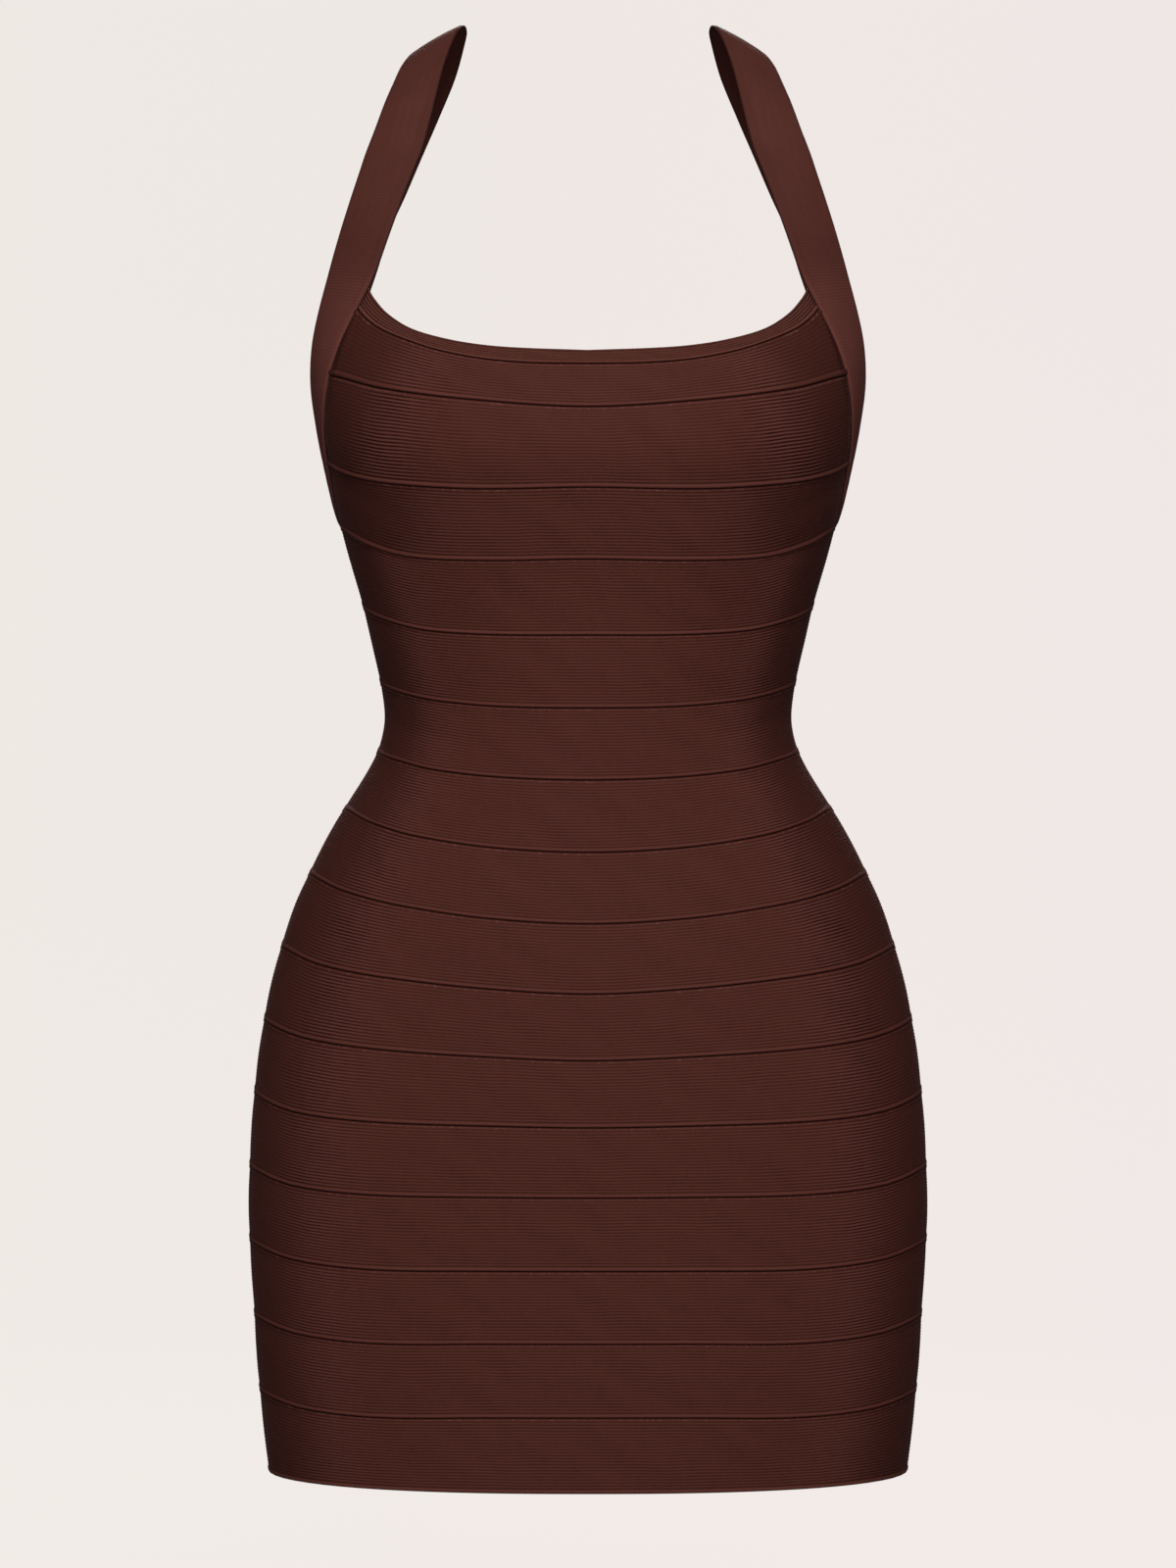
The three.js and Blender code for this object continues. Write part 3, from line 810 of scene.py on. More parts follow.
        # Painted marks for the material: shade in the rib grooves, shadow in the seams and beside the
        # straps, shade towards the ends, highlights on the rolled edge, the rib tops and the stitches.
        marks = {
            "groove": rows.ribbed * (1 - rows.crown) * strength,
            "painted_shadow": np.maximum(rows.painted_shadow, ends.line(to_end)),
            "shade": shade,
            "light": self.light(rows, from_end, angle, strength),
            "stitch": rows.stitch + 0 * to_end,
        }
        return ClothPiece(
            name=f"knit_{self.name}",
            node=self.name,
            slot=self.slot,
            points=points,
            plain=plain,
            flat=np.stack([along, rows.above + 0 * along], axis=-1),
            marks=marks,
            cut=(float(length[:, -1].max() / STRETCH), float(np.max(tall))),
        )


@dataclass
class Strip(Band):
    """One ribbed strip, between its own lower edge and the next strip's, or the neck band's seam."""

    index: int = 0
    narrow_scale: float = 0.3  # of the changes towards the ends, on a body of no width
    lit_from: float = 42.0  # from the end, where the painted highlight begins to change sides
    lit_width: float = 22.0

    def __post_init__(self) -> None:
        """Look up the lines that bound the strip."""
        edges = [SeamLine(row) for row in STRIP_EDGES.rows]
        self.is_full = self.index < FULL_STRIPS
        self.is_top = self.index == len(edges) - 1
        self.lower_edge = edges[self.index]
        self.lower_end = self.strap_seam.end_of(self.lower_edge, self.facing)
        self.upper_edge = None if self.is_top else edges[self.index + 1]
        if self.upper_edge is not None:
            self.upper_end = self.strap_seam.end_of(self.upper_edge, self.facing)

    @property
    def ends(self) -> BandEnds:
        """A full strip meets the side seam, and a higher one the strap."""
        if self.index == UNDERARM_STRIP:
            return UNDERARM_ENDS
        return SIDE_SEAM_ENDS if self.is_full else STRAP_ENDS

    def end_scale(self, height: np.ndarray) -> np.ndarray:
        """A narrower part of the body turns to the side nearer its seam."""
        if not self.is_full:
            return super().end_scale(height)
        return mixed(self.narrow_scale, 1.0, self.form.half_width(height) / WIDEST_HALF)

    def light(
        self, rows: ReliefRows, to_end: np.ndarray, angle: np.ndarray, strength: np.ndarray
    ) -> np.ndarray:
        """Mark of painted highlight, which beside the straps changes sides of the highest seam."""
        found = super().light(rows, to_end, angle, strength)
        beside = 1 - eased((to_end - self.lit_from) / self.lit_width)
        if self.index == LIT_BORDER_STRIP:
            found = np.maximum(found, rows.stitch * beside)
        if self.index == LIT_BORDER_STRIP + 1:
            found = found * (1 - beside * np.clip(rows.light, 0, 1))
        return found

    def lower(self, share: np.ndarray) -> tuple[np.ndarray, np.ndarray]:
        """Angle and height of the strip's lower edge."""
        angle = share * self.lower_end[0]
        return angle, self.lower_edge.height(angle, self.facing)

    def upper(self, share: np.ndarray) -> tuple[np.ndarray, np.ndarray]:
        """Angle and height of the line above the strip."""
        if self.upper_edge is None:
            return NECK.at("share", "seamAngle", share), NECK.at("share", "seamHeight", share)
        angle = share * self.upper_end[0]
        return angle, self.upper_edge.height(angle, self.facing)

    def end_angle(self, height: np.ndarray) -> np.ndarray:
        """A full strip ends at the side."""
        if self.is_full:
            return RIGHT_ANGLE + 0 * height
        return super().end_angle(height)


@dataclass
class NeckBand(Band):
    """The narrow band round the neck, with ribs that follow the neckline."""

    @property
    def ends(self) -> BandEnds:
        """Its ribs stay clear up to the straps."""
        return NECK_ENDS

    def lower(self, share: np.ndarray) -> tuple[np.ndarray, np.ndarray]:
        """Angle and height of the seam under the band."""
        return NECK.at("share", "seamAngle", share), NECK.at("share", "seamHeight", share)

    def upper(self, share: np.ndarray) -> tuple[np.ndarray, np.ndarray]:
        """Angle and height of the band's free edge."""
        return NECK.at("share", "edgeAngle", share), NECK.at("share", "edgeHeight", share)


@dataclass(frozen=True)
class SmoothPath:
    """A smooth curve through points, with knots spaced by the square root of their distance."""

    points: np.ndarray

    def at(self, share: np.ndarray) -> np.ndarray:
        """Points at shares from 0 to 1 along the curve, each stretch between two points alike."""
        known = self.points
        first, last = 2 * known[0] - known[1], 2 * known[-1] - known[-2]
        padded = np.vstack([first, known, last])
        place = np.clip(share, 0, 1) * (len(known) - 1)
        index = np.minimum(place.astype(int), len(known) - 2)
        t = (place - index)[:, None]
        a, b, c, d = (padded[index + k] for k in range(4))
        pairs = ((a, b), (b, c), (c, d))
        gaps = [np.sqrt(np.linalg.norm(q - p, axis=1, keepdims=True)) for p, q in pairs]
        start = (b - a) / gaps[0] - (c - a) / (gaps[0] + gaps[1]) + (c - b) / gaps[1]
        end = (c - b) / gaps[1] - (d - b) / (gaps[1] + gaps[2]) + (d - c) / gaps[2]
        start, end = start * gaps[1], end * gaps[1]
        square = -3 * b + 3 * c - 2 * start - end
        cube = 2 * b - 2 * c + start + end
        return b + start * t + square * t**2 + cube * t**3


@dataclass
class Strap:
    """The wide band from the front underarm round the armhole and over the shoulder to the back."""

    form: BodyForm
    side: Side
    crown: float = 1.0  # how far the middle of the free strap stands out from its edges
    proud: float = 0.6  # how far the strap lies above the body's form
    edge_roll: float = 0.7
    roll_width: float = 1.5
    body_stations: int = 210  # on the body, for each of front and back
    free_stations: int = 520
    station_power: float = 1.25  # crowds the stations towards the underarm
    body_bulge: float = 0.5
    rib_pitch: float = 1.7
    rib_depth: float = 0.13
    body_rib_share: float = 1.0
    shoulder_rib_share: float = 0.15
    shoulder_from: float = 640.0  # height where the ribs begin to fade towards the shoulder
    shoulder_reach: float = 110.0
    plain_edge: float = 1.0  # width along the edges without ribs
    plain_fade: float = 3.0
    # painted shadow along both edges, and how far in it reaches
    edge_painted_shadow: float = 0.8
    edge_shadow_width: float = 0.9
    border_shade: float = 0.22  # painted shade along the edge at the neck, where it turns in
    shaded_width: float = 7.0
    # painted highlight where the strap lies on the body
    body_light: float = 0.85
    blend_stations: int = 91  # over which the strap settles on the body
    soft_stations: int = 61
    across_places: tuple[float, ...] = (
        0.0, 0.25, 0.8, 1.8, 4.0, 8.0, 13.0, 18.0, 23.0, 28.0, 32.0, 34.2, 35.2, 35.75, 36.0,
    )

    def shares(self) -> np.ndarray:
        """Places across the strap as shares of its width."""
        places = np.array(self.across_places)
        return places / places[-1]

    def on_body(self, seam_height: np.ndarray, facing: Facing) -> np.ndarray:
        """Grid of points where the strap lies on the body.

        Args:
            seam_height: heights of the stations along the seam.
            facing: front or back.

        Returns:
            Points for each station and each place across.
        """
        column = "frontAngle" if facing is Facing.FRONT else "backAngle"
        seam_angle = UNDERARM_BAND.at("seamHeight", column, seam_height)
        edge_angle = UNDERARM_BAND.at("seamHeight", "edgeAngle", seam_height)
        edge_height = UNDERARM_BAND.at("seamHeight", "edgeHeight", seam_height)
        share = self.shares()[None, :]
        angle = mixed(seam_angle[:, None], edge_angle[:, None], share)
        height = mixed(seam_height[:, None], edge_height[:, None], share)
        return self.form.point(angle, height, facing)

    def grid(self) -> tuple[np.ndarray, np.ndarray]:
        """Points of the whole strap and a mark of how far each station lies on the body."""
        heights = UNDERARM_BAND.column("seamHeight")
        steps = np.linspace(0, 1, self.body_stations)
        seam_height = mixed(heights[0], heights[-1], steps**self.station_power)
        lead = self.on_body(seam_height, Facing.FRONT)
        tail = self.on_body(seam_height, Facing.BACK)[::-1]
        neck = np.stack([SHOULDER_STRAP.column(c) for c in ("neckX", "neckY", "neckHeight")], axis=1)
        arm = np.stack([SHOULDER_STRAP.column(c) for c in ("armX", "armY", "armHeight")], axis=1)
        neck_path = SmoothPath(np.vstack([lead[-1][0], neck, tail[0][0]]))
        arm_path = SmoothPath(np.vstack([lead[-1][-1], arm, tail[0][-1]]))
        places = np.linspace(0, 1, self.free_stations)[1:-1]
        neck_line, arm_line = neck_path.at(places), arm_path.at(places)
        along = np.gradient(neck_line + arm_line, axis=0)
        outward = unit(np.cross(arm_line - neck_line, along))
        share = self.shares()
        bow = 4 * self.crown * share * (1 - share)
        free = mixed(neck_line[:, None], arm_line[:, None], share[None, :, None])
        free = free + outward[:, None] * bow[None, :, None]
        on_body = np.concatenate([np.ones(len(lead)), np.zeros(len(free)), np.ones(len(tail))])
        return self.softened(np.concatenate([lead, free, tail]), len(lead)), on_body

    def softened(self, grid: np.ndarray, joined: int) -> np.ndarray:
        """The same grid with its turn rounded off where the strap leaves the body.

        Args:
            grid: points for each station and each place across.
            joined: stations from either end to the place where it leaves.

        Returns:
            Points that hardly move elsewhere.
        """
        window = self.soft_stations
        kernel = np.hanning(window + 2)[1:-1]
        kernel = kernel / kernel.sum()
        padded = np.pad(grid, ((window // 2, window // 2), (0, 0), (0, 0)), mode="edge")
        even = np.apply_along_axis(lambda line: np.convolve(line, kernel, mode="valid"), 0, padded)
        station = np.arange(len(grid))
        away = np.minimum(np.abs(station - joined), np.abs(len(grid) - joined - station))
        share = 1 - eased(away / window)
        return mixed(grid, even, share[:, None, None])

    def outward(self, grid: np.ndarray) -> np.ndarray:
        """Outward directions of the strap's points, from their neighbours."""
        along = np.gradient(grid, axis=0)
        across = np.gradient(grid, axis=1)
        return unit(np.cross(across, along))

    def piece(self) -> ClothPiece:
        """The strap laid in place, with rolled edges, faint cross ribs and marks."""
        plain, on_body = self.grid()
        widths = np.linalg.norm(np.diff(plain, axis=1), axis=-1)
        across = np.concatenate([np.zeros((len(widths), 1)), np.cumsum(widths, axis=1)], axis=1)
        width = across[:, -1:]
        middle_line = plain[:, plain.shape[1] // 2]
        steps = np.linalg.norm(np.diff(middle_line, axis=0), axis=-1)
        along = np.concatenate([[0.0], np.cumsum(steps)])[:, None]
        to_edge = np.minimum(across, width - across)
        rolled = eased(to_edge / self.roll_width)
        on_shoulder = eased((plain[:, :1, 2] - self.shoulder_from) / self.shoulder_reach)
        ribs = mixed(self.body_rib_share, self.shoulder_rib_share, on_shoulder)
        wave = np.sin(2 * math.pi * along / self.rib_pitch)
        away = eased((to_edge - self.plain_edge) / self.plain_fade)
        body_share = on_body[:, None]
        window = self.blend_stations
        smooth_share = np.convolve(on_body, np.ones(window) / window, mode="same")[:, None]
        smooth_share[:window], smooth_share[-window:] = body_share[:window], body_share[-window:]
        bulge = self.body_bulge * 4 * (across / width) * (1 - across / width) * smooth_share
        rise = self.proud * smooth_share - self.edge_roll * (1 - rolled) + bulge
        rise = rise + self.rib_depth * ribs * wave * away
        points = plain + self.outward(plain) * rise[..., None]
        points[..., 0] *= self.side.value
        mirrored = plain.copy()
        mirrored[..., 0] *= self.side.value
        # Painted marks: shade in the cross ribs' grooves, shadow along the edges, shade on the free
        # border at the neck, and a highlight where the strap lies on the body.
        marks = {
            "groove": np.clip(0.5 - 0.5 * wave, 0, 1) * ribs * away,
            "painted_shadow": self.edge_painted_shadow * (1 - eased(to_edge / self.edge_shadow_width)),
            "shade": self.border_shade * (1 - eased(across / self.shaded_width)) * (1 - smooth_share),
            "light": self.body_light * smooth_share + 0 * across,
            "stitch": 0 * across,
        }
        flat = np.stack([across - width / 2, along + 0 * across], axis=-1)
        if self.side is Side.LEFT:
            points, mirrored, flat = points[:, ::-1], mirrored[:, ::-1], flat[:, ::-1]
            marks = {label: values[:, ::-1] for label, values in marks.items()}
        name = f"strap_{self.side.name.lower()}"
        return ClothPiece(
            name=f"knit_{name}",
            node=name,
            slot=Slot.STRAP,
            points=points,
            plain=mirrored,
            flat=flat,
            marks=marks,
            cut=(float(width.max()), float(along[-1, 0] / STRETCH)),
        )


Colour = tuple[float, float, float]
Place = tuple[float, float, float]


@dataclass(frozen=True)
class Grain:
    """How fine a noise is."""

    scale: float  # patches to the metre
    detail: float = 2.0  # finer layers on top


@dataclass(frozen=True)
class Wiring:
    """Short ways to place and join shader nodes in one tree."""

    tree: bpy.types.NodeTree

    def node(self, kind: str, **values: object) -> bpy.types.Node:
        """Add a node and set its properties.

        Args:
            kind: the node's type.
            values: properties by name.

        Returns:
            The node.
        """
        made = self.tree.nodes.new(kind)
        for label, value in values.items():
            setattr(made, label, value)
        return made

    def join(self, source: bpy.types.NodeSocket, target: bpy.types.NodeSocket) -> None:
        """Join an output to an input."""
        self.tree.links.new(source, target)

    def feed(self, target: bpy.types.NodeSocket, value: object) -> None:
        """Join a socket to an input, or set the input's own value."""
        if isinstance(value, bpy.types.NodeSocket):
            self.join(value, target)
        else:
            target.default_value = value

    def maths(self, operation: str, *values: object, clamp: bool = False) -> bpy.types.NodeSocket:
        """Result of a Math node on sockets or numbers."""
        made = self.node("ShaderNodeMath", operation=operation, use_clamp=clamp)
        for target, value in zip(made.inputs, values):
            self.feed(target, value)
        return made.outputs[0]

    def blend(
        self, share: object, low: object, high: object, kind: str = "MIX"
    ) -> bpy.types.NodeSocket:
        """Mix of two colours by a share."""
        made = self.node("ShaderNodeMix", data_type="RGBA", blend_type=kind)
        made.clamp_factor = True
        for label, value in (("Factor_Float", share), ("A_Color", low), ("B_Color", high)):
            target = next(s for s in made.inputs if s.identifier == label)
            if not isinstance(value, (bpy.types.NodeSocket, float, int)):
                value = (*value, 1.0) if len(value) == 3 else value
            self.feed(target, value)
        return next(s for s in made.outputs if s.identifier == "Result_Color")

    def noise(self, vector: bpy.types.NodeSocket, grain: Grain) -> bpy.types.NodeSocket:
        """Noise value from 0 to 1 over a vector."""
        made = self.node("ShaderNodeTexNoise")
        made.inputs["Scale"].default_value = grain.scale
        made.inputs["Detail"].default_value = grain.detail
        self.join(vector, made.inputs["Vector"])
        return made.outputs["Fac"]


class StitchGroup:
    """Shared effect: the small stitches and loose fibres of the knit, from its flat sizes."""

    NAME = "knit_stitches"
    FIBRE = Grain(2600.0, 3.0)
    FIBRE_HEIGHT = 0.6  # of the fibres, against the stitches

    @classmethod
    def tree(cls) -> bpy.types.NodeTree:
        """The group, built once."""
        known = bpy.data.node_groups.get(cls.NAME)
        if known is not None:
            return known
        group = bpy.data.node_groups.new(cls.NAME, "ShaderNodeTree")
        face = group.interface
        face.new_socket("Flat", in_out="INPUT", socket_type="NodeSocketVector")
        for label in ("Stitch Width", "Rib Pitch", "Slant"):
            face.new_socket(label, in_out="INPUT", socket_type="NodeSocketFloat")
        face.new_socket("Height", in_out="OUTPUT", socket_type="NodeSocketFloat")
        face.new_socket("Fibre", in_out="OUTPUT", socket_type="NodeSocketFloat")
        wiring = Wiring(group)
        given = wiring.node("NodeGroupInput")
        result = wiring.node("NodeGroupOutput")
        parts = wiring.node("ShaderNodeSeparateXYZ")
        wiring.join(given.outputs["Flat"], parts.inputs[0])
        level = wiring.maths("DIVIDE", parts.outputs["Y"], given.outputs["Rib Pitch"])
        lean = wiring.maths("MULTIPLY", wiring.maths("PINGPONG", level, 0.5), given.outputs["Slant"])
        column = wiring.maths("DIVIDE", parts.outputs["X"], given.outputs["Stitch Width"])
        turns = wiring.maths("MULTIPLY", wiring.maths("ADD", column, lean), 2 * math.pi)
        stitch = wiring.maths("MULTIPLY_ADD", wiring.maths("SINE", turns), 0.5, 0.5)
        fibre = wiring.noise(given.outputs["Flat"], cls.FIBRE)
        height = wiring.maths("MULTIPLY_ADD", fibre, cls.FIBRE_HEIGHT, stitch)
        wiring.join(height, result.inputs["Height"])
        wiring.join(fibre, result.inputs["Fibre"])
        return group


@dataclass(frozen=True)
class KnitFinish:
    """Finish of one kind of knitted cloth."""

    slot: Slot
    base: Colour
    warm: Colour
    # painted shade in the rib grooves; the strap's streaks also lean to this colour
    groove: Colour
    # painted shadow in the seams, also the colour of the painted shade towards the ends
    painted_shadow: Colour
    # painted highlight on the rolled edges, the rib tops, the stitches and the strap on the body
    lit: Colour
    groove_strength: float = 0.85
    light_strength: float = 0.9
    roughness: float = 0.7
    sheen: float = 0.05
    sheen_roughness: float = 0.25
    sheen_tint: Colour = (0.62, 0.30, 0.25)
    specular: float = 0.08
    stitch_width: float = 1.05  # mm
    rib_pitch: float = 1.62  # mm
    slant: float = 0.7  # how far the stitches lean from rib to rib
    bump: float = 0.35
    bump_distance: float = 0.00016  # metres
    streaks: float = 0.0  # how strong the lengthwise streaks are
    streak: Grain = Grain(520.0)
    streak_stretch: float = 0.06
    broad: Grain = Grain(9.0)  # slow changes of tone over the dress
    uneven: Grain = Grain(60.0, 3.0)
    uneven_share: float = 0.4
    fibre_tone: tuple[float, float] = (0.5, 0.72)  # gain and least value
    fibre_share: float = 0.55
    broken: Grain = Grain(190.0)  # breaks in the shadow between the ribs
    broken_tone: tuple[float, float] = (1.0, 0.5)
    ragged: Grain = Grain(420.0)  # broken stitches and ragged shadow along the seams
    ragged_tone: tuple[float, float] = (0.5, 0.72)
    thread_level: float = 0.54
    thread_gain: float = 9.0
    roughness_spread: float = 0.16

    def material(self) -> bpy.types.Material:
        """The node material of the finish."""
        material = bpy.data.materials.new(self.slot.value)
        material.use_nodes = True
        wiring = Wiring(material.node_tree)
        shader = material.node_tree.nodes["Principled BSDF"]
        chart = wiring.node("ShaderNodeUVMap", uv_map="flat_cut").outputs["UV"]
        stitches = wiring.node("ShaderNodeGroup", node_tree=StitchGroup.tree())
        wiring.join(chart, stitches.inputs["Flat"])
        stitches.inputs["Stitch Width"].default_value = self.stitch_width * MILLIMETRE
        stitches.inputs["Rib Pitch"].default_value = self.rib_pitch * MILLIMETRE
        stitches.inputs["Slant"].default_value = self.slant
        fibre = stitches.outputs["Fibre"]

        cloth = self.plain_cloth(wiring, chart, fibre)
        wiring.join(self.marked_cloth(wiring, chart, cloth), shader.inputs["Base Color"])

        smoothest = self.roughness - self.roughness_spread / 2
        rough = wiring.maths("MULTIPLY_ADD", fibre, self.roughness_spread, smoothest)
        wiring.join(rough, shader.inputs["Roughness"])
        bump = wiring.node("ShaderNodeBump")
        bump.inputs["Strength"].default_value = self.bump
        bump.inputs["Distance"].default_value = self.bump_distance
        wiring.join(stitches.outputs["Height"], bump.inputs["Height"])
        wiring.join(bump.outputs["Normal"], shader.inputs["Normal"])
        shader.inputs["Specular IOR Level"].default_value = self.specular
        shader.inputs["Sheen Weight"].default_value = self.sheen
        shader.inputs["Sheen Roughness"].default_value = self.sheen_roughness
        shader.inputs["Sheen Tint"].default_value = (*self.sheen_tint, 1.0)
        return material

    def plain_cloth(
        self, wiring: Wiring, chart: bpy.types.NodeSocket, fibre: bpy.types.NodeSocket
    ) -> bpy.types.NodeSocket:
        """Colour of the knit away from its ribs and seams.

        Args:
            wiring: the material's nodes.
            chart: the flat sizes.
            fibre: the noise of loose fibres.

        Returns:
            The uneven colour.
        """
        place = wiring.node("ShaderNodeTexCoord").outputs["Object"]
        slow = wiring.maths("MULTIPLY", wiring.noise(place, self.broad), 1 - self.uneven_share)
        drift = wiring.maths("MULTIPLY_ADD", wiring.noise(place, self.uneven), self.uneven_share, slow)
        cloth = wiring.blend(drift, self.base, self.warm)
        tone = self.grey(wiring, wiring.maths("MULTIPLY_ADD", fibre, *self.fibre_tone))
        cloth = wiring.blend(self.fibre_share, cloth, tone, "MULTIPLY")
        return self.with_streaks(wiring, chart, cloth) if self.streaks > 0 else cloth

    def marked_cloth(
        self, wiring: Wiring, chart: bpy.types.NodeSocket, cloth: bpy.types.NodeSocket
    ) -> bpy.types.NodeSocket:
        """Colour with the painted highlights and shadows of the ribs, seams and ends, from the piece's
        marks.

        Args:
            wiring: the material's nodes.
            chart: the flat sizes.
            cloth: the colour so far.

        Returns:
            The colour of the whole piece.
        """
        groove, painted_shadow, shade, light, stitch = (
            wiring.node("ShaderNodeAttribute", attribute_name=label).outputs["Fac"]
            for label in ("groove", "painted_shadow", "shade", "light", "stitch")
        )
        # painted highlight on the rolled edges, the rib tops and the strap on the body
        on_border = wiring.maths("MULTIPLY", light, self.light_strength, clamp=True)
        cloth = wiring.blend(on_border, cloth, self.lit)
        # painted shade in the rib grooves, broken here and there
        broken = wiring.maths("MULTIPLY_ADD", wiring.noise(chart, self.broken), *self.broken_tone)
        deep = wiring.maths("MULTIPLY", groove, broken)
        in_groove = wiring.maths("MULTIPLY", deep, self.groove_strength, clamp=True)
        cloth = wiring.blend(in_groove, cloth, self.groove)
        # painted shade towards the ends
        cloth = wiring.blend(shade, cloth, self.painted_shadow)
        # painted highlight on the stitches under the seams, in uneven ticks
        ragged = wiring.noise(chart, self.ragged)
        raised = wiring.maths("SUBTRACT", ragged, self.thread_level)
        thread = wiring.maths("MULTIPLY", raised, self.thread_gain, clamp=True)
        cloth = wiring.blend(wiring.maths("MULTIPLY", thread, stitch, clamp=True), cloth, self.lit)
        # painted shadow along the seams, ragged
        patchy = wiring.maths("MULTIPLY_ADD", ragged, *self.ragged_tone)
        shadow = wiring.maths("MULTIPLY", painted_shadow, patchy, clamp=True)
        return wiring.blend(shadow, cloth, self.painted_shadow)

    @staticmethod
    def grey(wiring: Wiring, value: bpy.types.NodeSocket) -> bpy.types.NodeSocket:
        """A value as a grey colour."""
        made = wiring.node("ShaderNodeCombineColor")
        for target in made.inputs:
            wiring.join(value, target)
        return made.outputs[0]

    def with_streaks(
        self, wiring: Wiring, chart: bpy.types.NodeSocket, cloth: bpy.types.NodeSocket
    ) -> bpy.types.NodeSocket:
        """Faint lengthwise streaks in the colour.

        Args:
            wiring: the material's nodes.
            chart: the flat sizes.
            cloth: the colour so far.

        Returns:
            The streaked colour.
        """
        long_way = wiring.node("ShaderNodeMapping")
        long_way.inputs["Scale"].default_value = (1.0, self.streak_stretch, 1.0)
        wiring.join(chart, long_way.inputs["Vector"])
        streak = wiring.noise(long_way.outputs[0], self.streak)
        share = wiring.maths("MULTIPLY", streak, self.streaks, clamp=True)
        return wiring.blend(share, cloth, self.groove)


FINISHES = (
    KnitFinish(
        Slot.STRIP,
        base=(0.092, 0.0250, 0.0200),
        warm=(0.102, 0.0315, 0.0235),
        groove=(0.022, 0.0040, 0.0028),
        painted_shadow=(0.018, 0.0028, 0.0015),
        lit=(0.150, 0.0505, 0.0430),
    ),
    KnitFinish(
        Slot.NECK,
        base=(0.100, 0.0280, 0.0216),
        warm=(0.114, 0.0350, 0.0258),
        groove=(0.014, 0.0028, 0.0018),
        painted_shadow=(0.012, 0.0018, 0.0010),
        lit=(0.168, 0.0590, 0.0500),
        groove_strength=1.0,
        rib_pitch=1.3,
    ),
    KnitFinish(
        Slot.STRAP,
        base=(0.084, 0.0240, 0.0202),
        warm=(0.136, 0.0438, 0.0346),
        groove=(0.050, 0.0130, 0.0100),
        painted_shadow=(0.020, 0.0040, 0.0030),
        lit=(0.182, 0.0590, 0.0512),
        groove_strength=0.35,
        light_strength=0.8,
        rib_pitch=1.7,
        stitch_width=1.3,
        slant=0.3,
        bump=0.25,
        streaks=0.35,
    ),
)

TROUGHS = (
    Trough(Facing.FRONT, -68, 536, 60, 16, 1.0, -22),
    Trough(Facing.FRONT, 68, 534, 56, 15, 0.9, 22),
    Trough(Facing.FRONT, -60, 404, 70, 13, 0.8, -8),
    Trough(Facing.FRONT, 62, 408, 60, 12, 0.7, 9),
    Trough(Facing.BACK, -64, 530, 62, 17, 1.0, -18),
    Trough(Facing.BACK, 66, 533, 58, 16, 0.9, 20),
    Trough(Facing.BACK, -30, 418, 90, 15, 1.0, -4),
    Trough(Facing.BACK, 26, 396, 80, 14, 0.9, 5),
    Trough(Facing.BACK, 4, 442, 70, 15, 0.7, 2),
)


@dataclass
class Dress:
    """The whole garment: strips, neck bands and straps, in order."""

    form: BodyForm = field(default_factory=lambda: BodyForm(troughs=TROUGHS))
    strip_relief: RibRelief = RibRelief()
    neck_relief: RibRelief = RibRelief(
        pitch=1.2,
        depth=0.27,
        floor=-0.25,
        lip_height=1.7,
        lip_rise=0.6,
        top_height=1.1,
        free_top=True,
    )

    def pieces(self) -> list[ClothPiece]:
        """All pieces of cloth, from the hem up."""
        seam = StrapSeam()
        found = []
        for facing in Facing:
            word = facing.name.lower()
            for index in range(len(STRIP_EDGES.rows)):
                strip = Strip(
                    form=self.form,
                    strap_seam=seam,
                    facing=facing,
                    name=f"{word}_strip_{index + 1:02d}",
                    slot=Slot.STRIP,
                    relief=self.strip_relief,
                    wander=Wander(seed=SEED_STEP * index + SEED_START + facing.value),
                    index=index,
                    rib_peak=RIB_PEAKS[index],
                    lip_light_aside=SOFT_LIP_LIGHT if index < UNDERARM_STRIP - 1 else CLEAR_LIP_LIGHT,
                )
                found.append(strip.piece())
            neck = NeckBand(
                form=self.form,
                strap_seam=seam,
                facing=facing,
                name=f"{word}_neck_band",
                slot=Slot.NECK,
                relief=self.neck_relief,
                wander=Wander(seed=NECK_SEED + facing.value, drift=0.05),
                columns=96,
                bulge=0.2,
            )
            found.append(neck.piece())
        found.extend(Strap(self.form, side).piece() for side in Side)
        return found

    def build(self) -> list[bpy.types.Object]:
        """Make every piece with its finish."""
        materials = {finish.slot: finish.material() for finish in FINISHES}
        return [piece.dress(materials[piece.slot]) for piece in self.pieces()]


@dataclass(frozen=True)
class SoftLight:
    """A large even light that faces a point of the dress."""

    name: str
    place: Place
    width: float
    height: float
    watts: float
    target: Place = (0.0, 0.0, -0.4)  # the middle of the dress
    colour: Colour = (1.0, 0.97, 0.93)

    def build(self) -> bpy.types.Object:
        """Make the light and turn it to its target."""
        data = bpy.data.lights.new(self.name, "AREA")
        data.shape = "RECTANGLE"
        data.size, data.size_y = self.width, self.height
        data.energy = self.watts
        data.color = self.colour
        lamp = bpy.data.objects.new(self.name, data)
        bpy.context.scene.collection.objects.link(lamp)
        lamp.location = self.place
        away = np.array(self.place) - np.array(self.target)
        flat_length = math.hypot(away[0], away[1])
        tilt = math.atan2(flat_length, away[2])
        turn = math.atan2(away[1], away[0]) + math.pi / 2
        lamp.rotation_euler = (tilt, 0.0, turn)
        return lamp


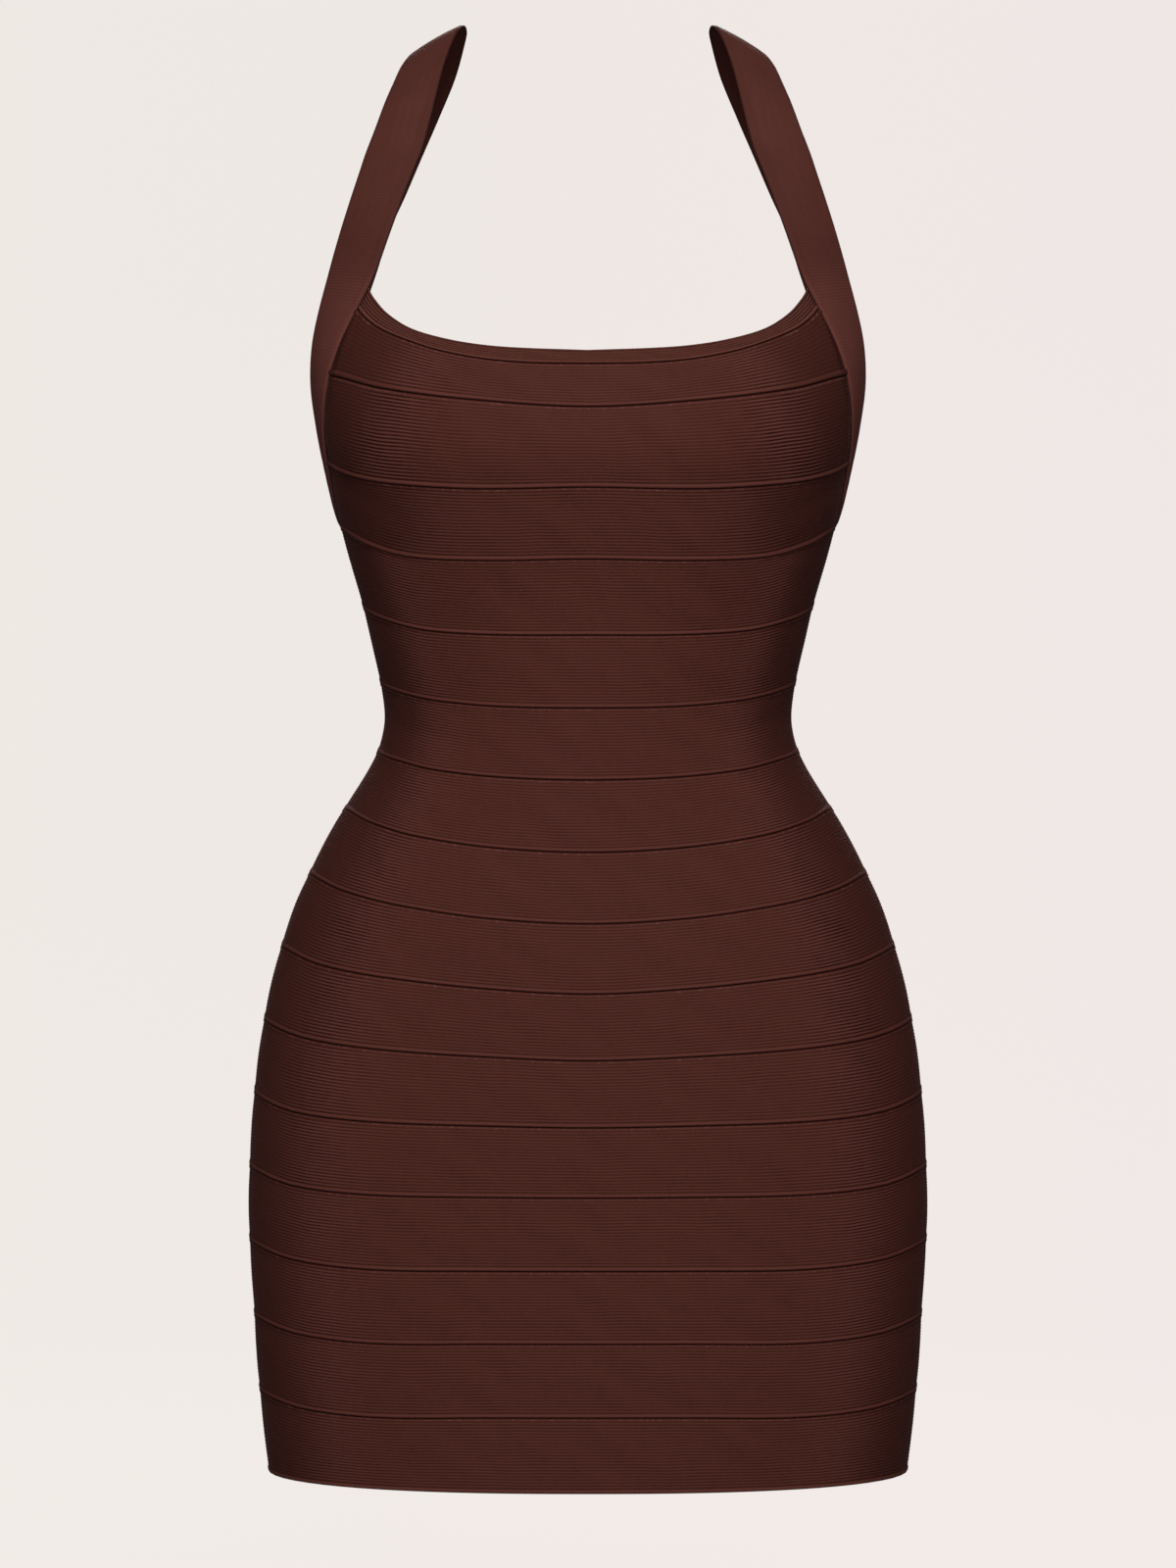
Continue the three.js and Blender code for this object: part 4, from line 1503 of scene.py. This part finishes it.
@dataclass(frozen=True)
class Studio:
    """Camera, pale floor and backdrop, and soft light; sizes are in metres."""

    camera_distance: float = 2.72
    camera_height: float = -0.4076
    lens: float = 113.3  # millimetres, as the sensor's width
    sensor: float = 36.0
    sight: float = 30.0  # how far the camera sees
    floor_height: float = -1.02
    wall_distance: float = 3.2
    corner_radius: float = 0.5
    half_width: float = 3.2
    front_reach: float = 3.4
    wall_height: float = 2.6
    corner_steps: int = 16
    paper: Colour = (0.862, 0.822, 0.777)
    paper_right: Colour = (0.880, 0.806, 0.805)
    paper_turn: tuple[float, float] = (0.57, 0.4)  # gain and middle of the change from left to right
    paper_body: Colour = (0.06, 0.058, 0.055)
    paper_roughness: float = 0.9
    paper_glow: float = 0.968  # its own light, as the camera sees it
    air_light: float = 0.085  # strength of the light from all round
    paper_spill: float = 0.12  # the share of that glow that falls on the dress
    lights: tuple[SoftLight, ...] = (
        SoftLight("key_light", (0.0, -2.3, 1.25), 1.3, 1.0, 54.0),
        SoftLight("fill_light", (0.0, -3.0, -0.35), 1.2, 1.6, 19.0),
        SoftLight("back_light", (0.0, 2.3, 1.35), 1.3, 1.0, 44.0),
    )

    def camera(self) -> bpy.types.Object:
        """The camera at the photograph's distance and height."""
        data = bpy.data.cameras.new("studio_camera")
        data.lens = self.lens
        data.sensor_width = self.sensor
        data.sensor_fit = "AUTO"
        data.clip_end = self.sight
        camera = bpy.data.objects.new("studio_camera", data)
        bpy.context.scene.collection.objects.link(camera)
        camera.location = (0.0, -self.camera_distance, self.camera_height)
        camera.rotation_euler = (math.pi / 2, 0.0, 0.0)
        bpy.context.scene.camera = camera
        return camera

    def backdrop(self) -> bpy.types.Object:
        """Floor that curves up into a wall, extruded from one line of points."""
        line = [(-self.front_reach, self.floor_height)]
        start, radius = self.wall_distance - self.corner_radius, self.corner_radius
        for step in range(self.corner_steps + 1):
            turn = math.pi / 2 * step / self.corner_steps
            rise = radius * (1 - math.cos(turn))
            line.append((start + radius * math.sin(turn), self.floor_height + rise))
        line.append((self.wall_distance, self.wall_height))
        sweep = bmesh.new()
        points = [sweep.verts.new((-self.half_width, y, z)) for y, z in line]
        edges = [sweep.edges.new(pair) for pair in zip(points, points[1:])]
        grown = bmesh.ops.extrude_edge_only(sweep, edges=edges)
        moved = [part for part in grown["geom"] if isinstance(part, bmesh.types.BMVert)]
        bmesh.ops.translate(sweep, verts=moved, vec=(2 * self.half_width, 0.0, 0.0))
        bmesh.ops.recalc_face_normals(sweep, faces=sweep.faces)
        bmesh.ops.reverse_faces(sweep, faces=sweep.faces)
        mesh = bpy.data.meshes.new("studio_floor")
        sweep.to_mesh(mesh)
        sweep.free()
        mesh.polygons.foreach_set("use_smooth", np.ones(len(mesh.polygons), bool))
        paper = bpy.data.objects.new("studio_floor", mesh)
        bpy.context.scene.collection.objects.link(paper)
        mesh.materials.append(self.paper_material())
        return paper

    def paper_material(self) -> bpy.types.Material:
        """Plain pale paper, a little pinker to the right."""
        material = bpy.data.materials.new("pale_paper")
        material.use_nodes = True
        wiring = Wiring(material.node_tree)
        shader = material.node_tree.nodes["Principled BSDF"]
        place = wiring.node("ShaderNodeTexCoord").outputs["Object"]
        parts = wiring.node("ShaderNodeSeparateXYZ")
        wiring.join(place, parts.inputs[0])
        share = wiring.maths("MULTIPLY_ADD", parts.outputs["X"], *self.paper_turn, clamp=True)
        tone = wiring.blend(share, self.paper, self.paper_right)
        shader.inputs["Base Color"].default_value = (*self.paper_body, 1.0)
        wiring.join(tone, shader.inputs["Emission Color"])
        seen = wiring.node("ShaderNodeLightPath").outputs["Is Camera Ray"]
        spill = self.paper_glow * self.paper_spill
        glow = wiring.maths("MULTIPLY_ADD", seen, self.paper_glow - spill, spill)
        wiring.join(glow, shader.inputs["Emission Strength"])
        shader.inputs["Roughness"].default_value = self.paper_roughness
        shader.inputs["Specular IOR Level"].default_value = 0.0
        self.clear_from_behind(wiring, shader)
        return material

    def clear_from_behind(self, wiring: Wiring, shader: bpy.types.Node) -> None:
        """Let a camera behind the paper see through it."""
        reverse = wiring.node("ShaderNodeNewGeometry").outputs["Backfacing"]
        choice = wiring.node("ShaderNodeMixShader")
        clear = wiring.node("ShaderNodeBsdfTransparent")
        output = next(node for node in wiring.tree.nodes if node.type == "OUTPUT_MATERIAL")
        wiring.join(reverse, choice.inputs[0])
        wiring.join(shader.outputs[0], choice.inputs[1])
        wiring.join(clear.outputs[0], choice.inputs[2])
        wiring.join(choice.outputs[0], output.inputs["Surface"])

    def world(self) -> None:
        """Dim even light from all round, which the camera sees as pale as the paper."""
        world = bpy.data.worlds.new("studio_air")
        world.use_nodes = True
        wiring = Wiring(world.node_tree)
        air = world.node_tree.nodes["Background"]
        air.inputs["Color"].default_value = (*self.paper, 1.0)
        seen = wiring.node("ShaderNodeLightPath").outputs["Is Camera Ray"]
        strength = wiring.maths("MULTIPLY_ADD", seen, self.paper_glow - self.air_light, self.air_light)
        wiring.join(strength, air.inputs["Strength"])
        bpy.context.scene.world = world

    def build(self) -> None:
        """Make the whole studio."""
        self.camera()
        self.backdrop()
        self.world()
        for light in self.lights:
            light.build()
        bpy.context.scene.view_settings.view_transform = "Standard"


def main() -> None:
    """Load the frame, make the studio and the dress."""
    logging.basicConfig(level=logging.INFO, format="%(message)s")
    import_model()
    Studio().build()
    pieces = Dress().build()
    LOG.info("%d pieces of cloth", len(pieces))


if __name__ == "__main__":
    main()
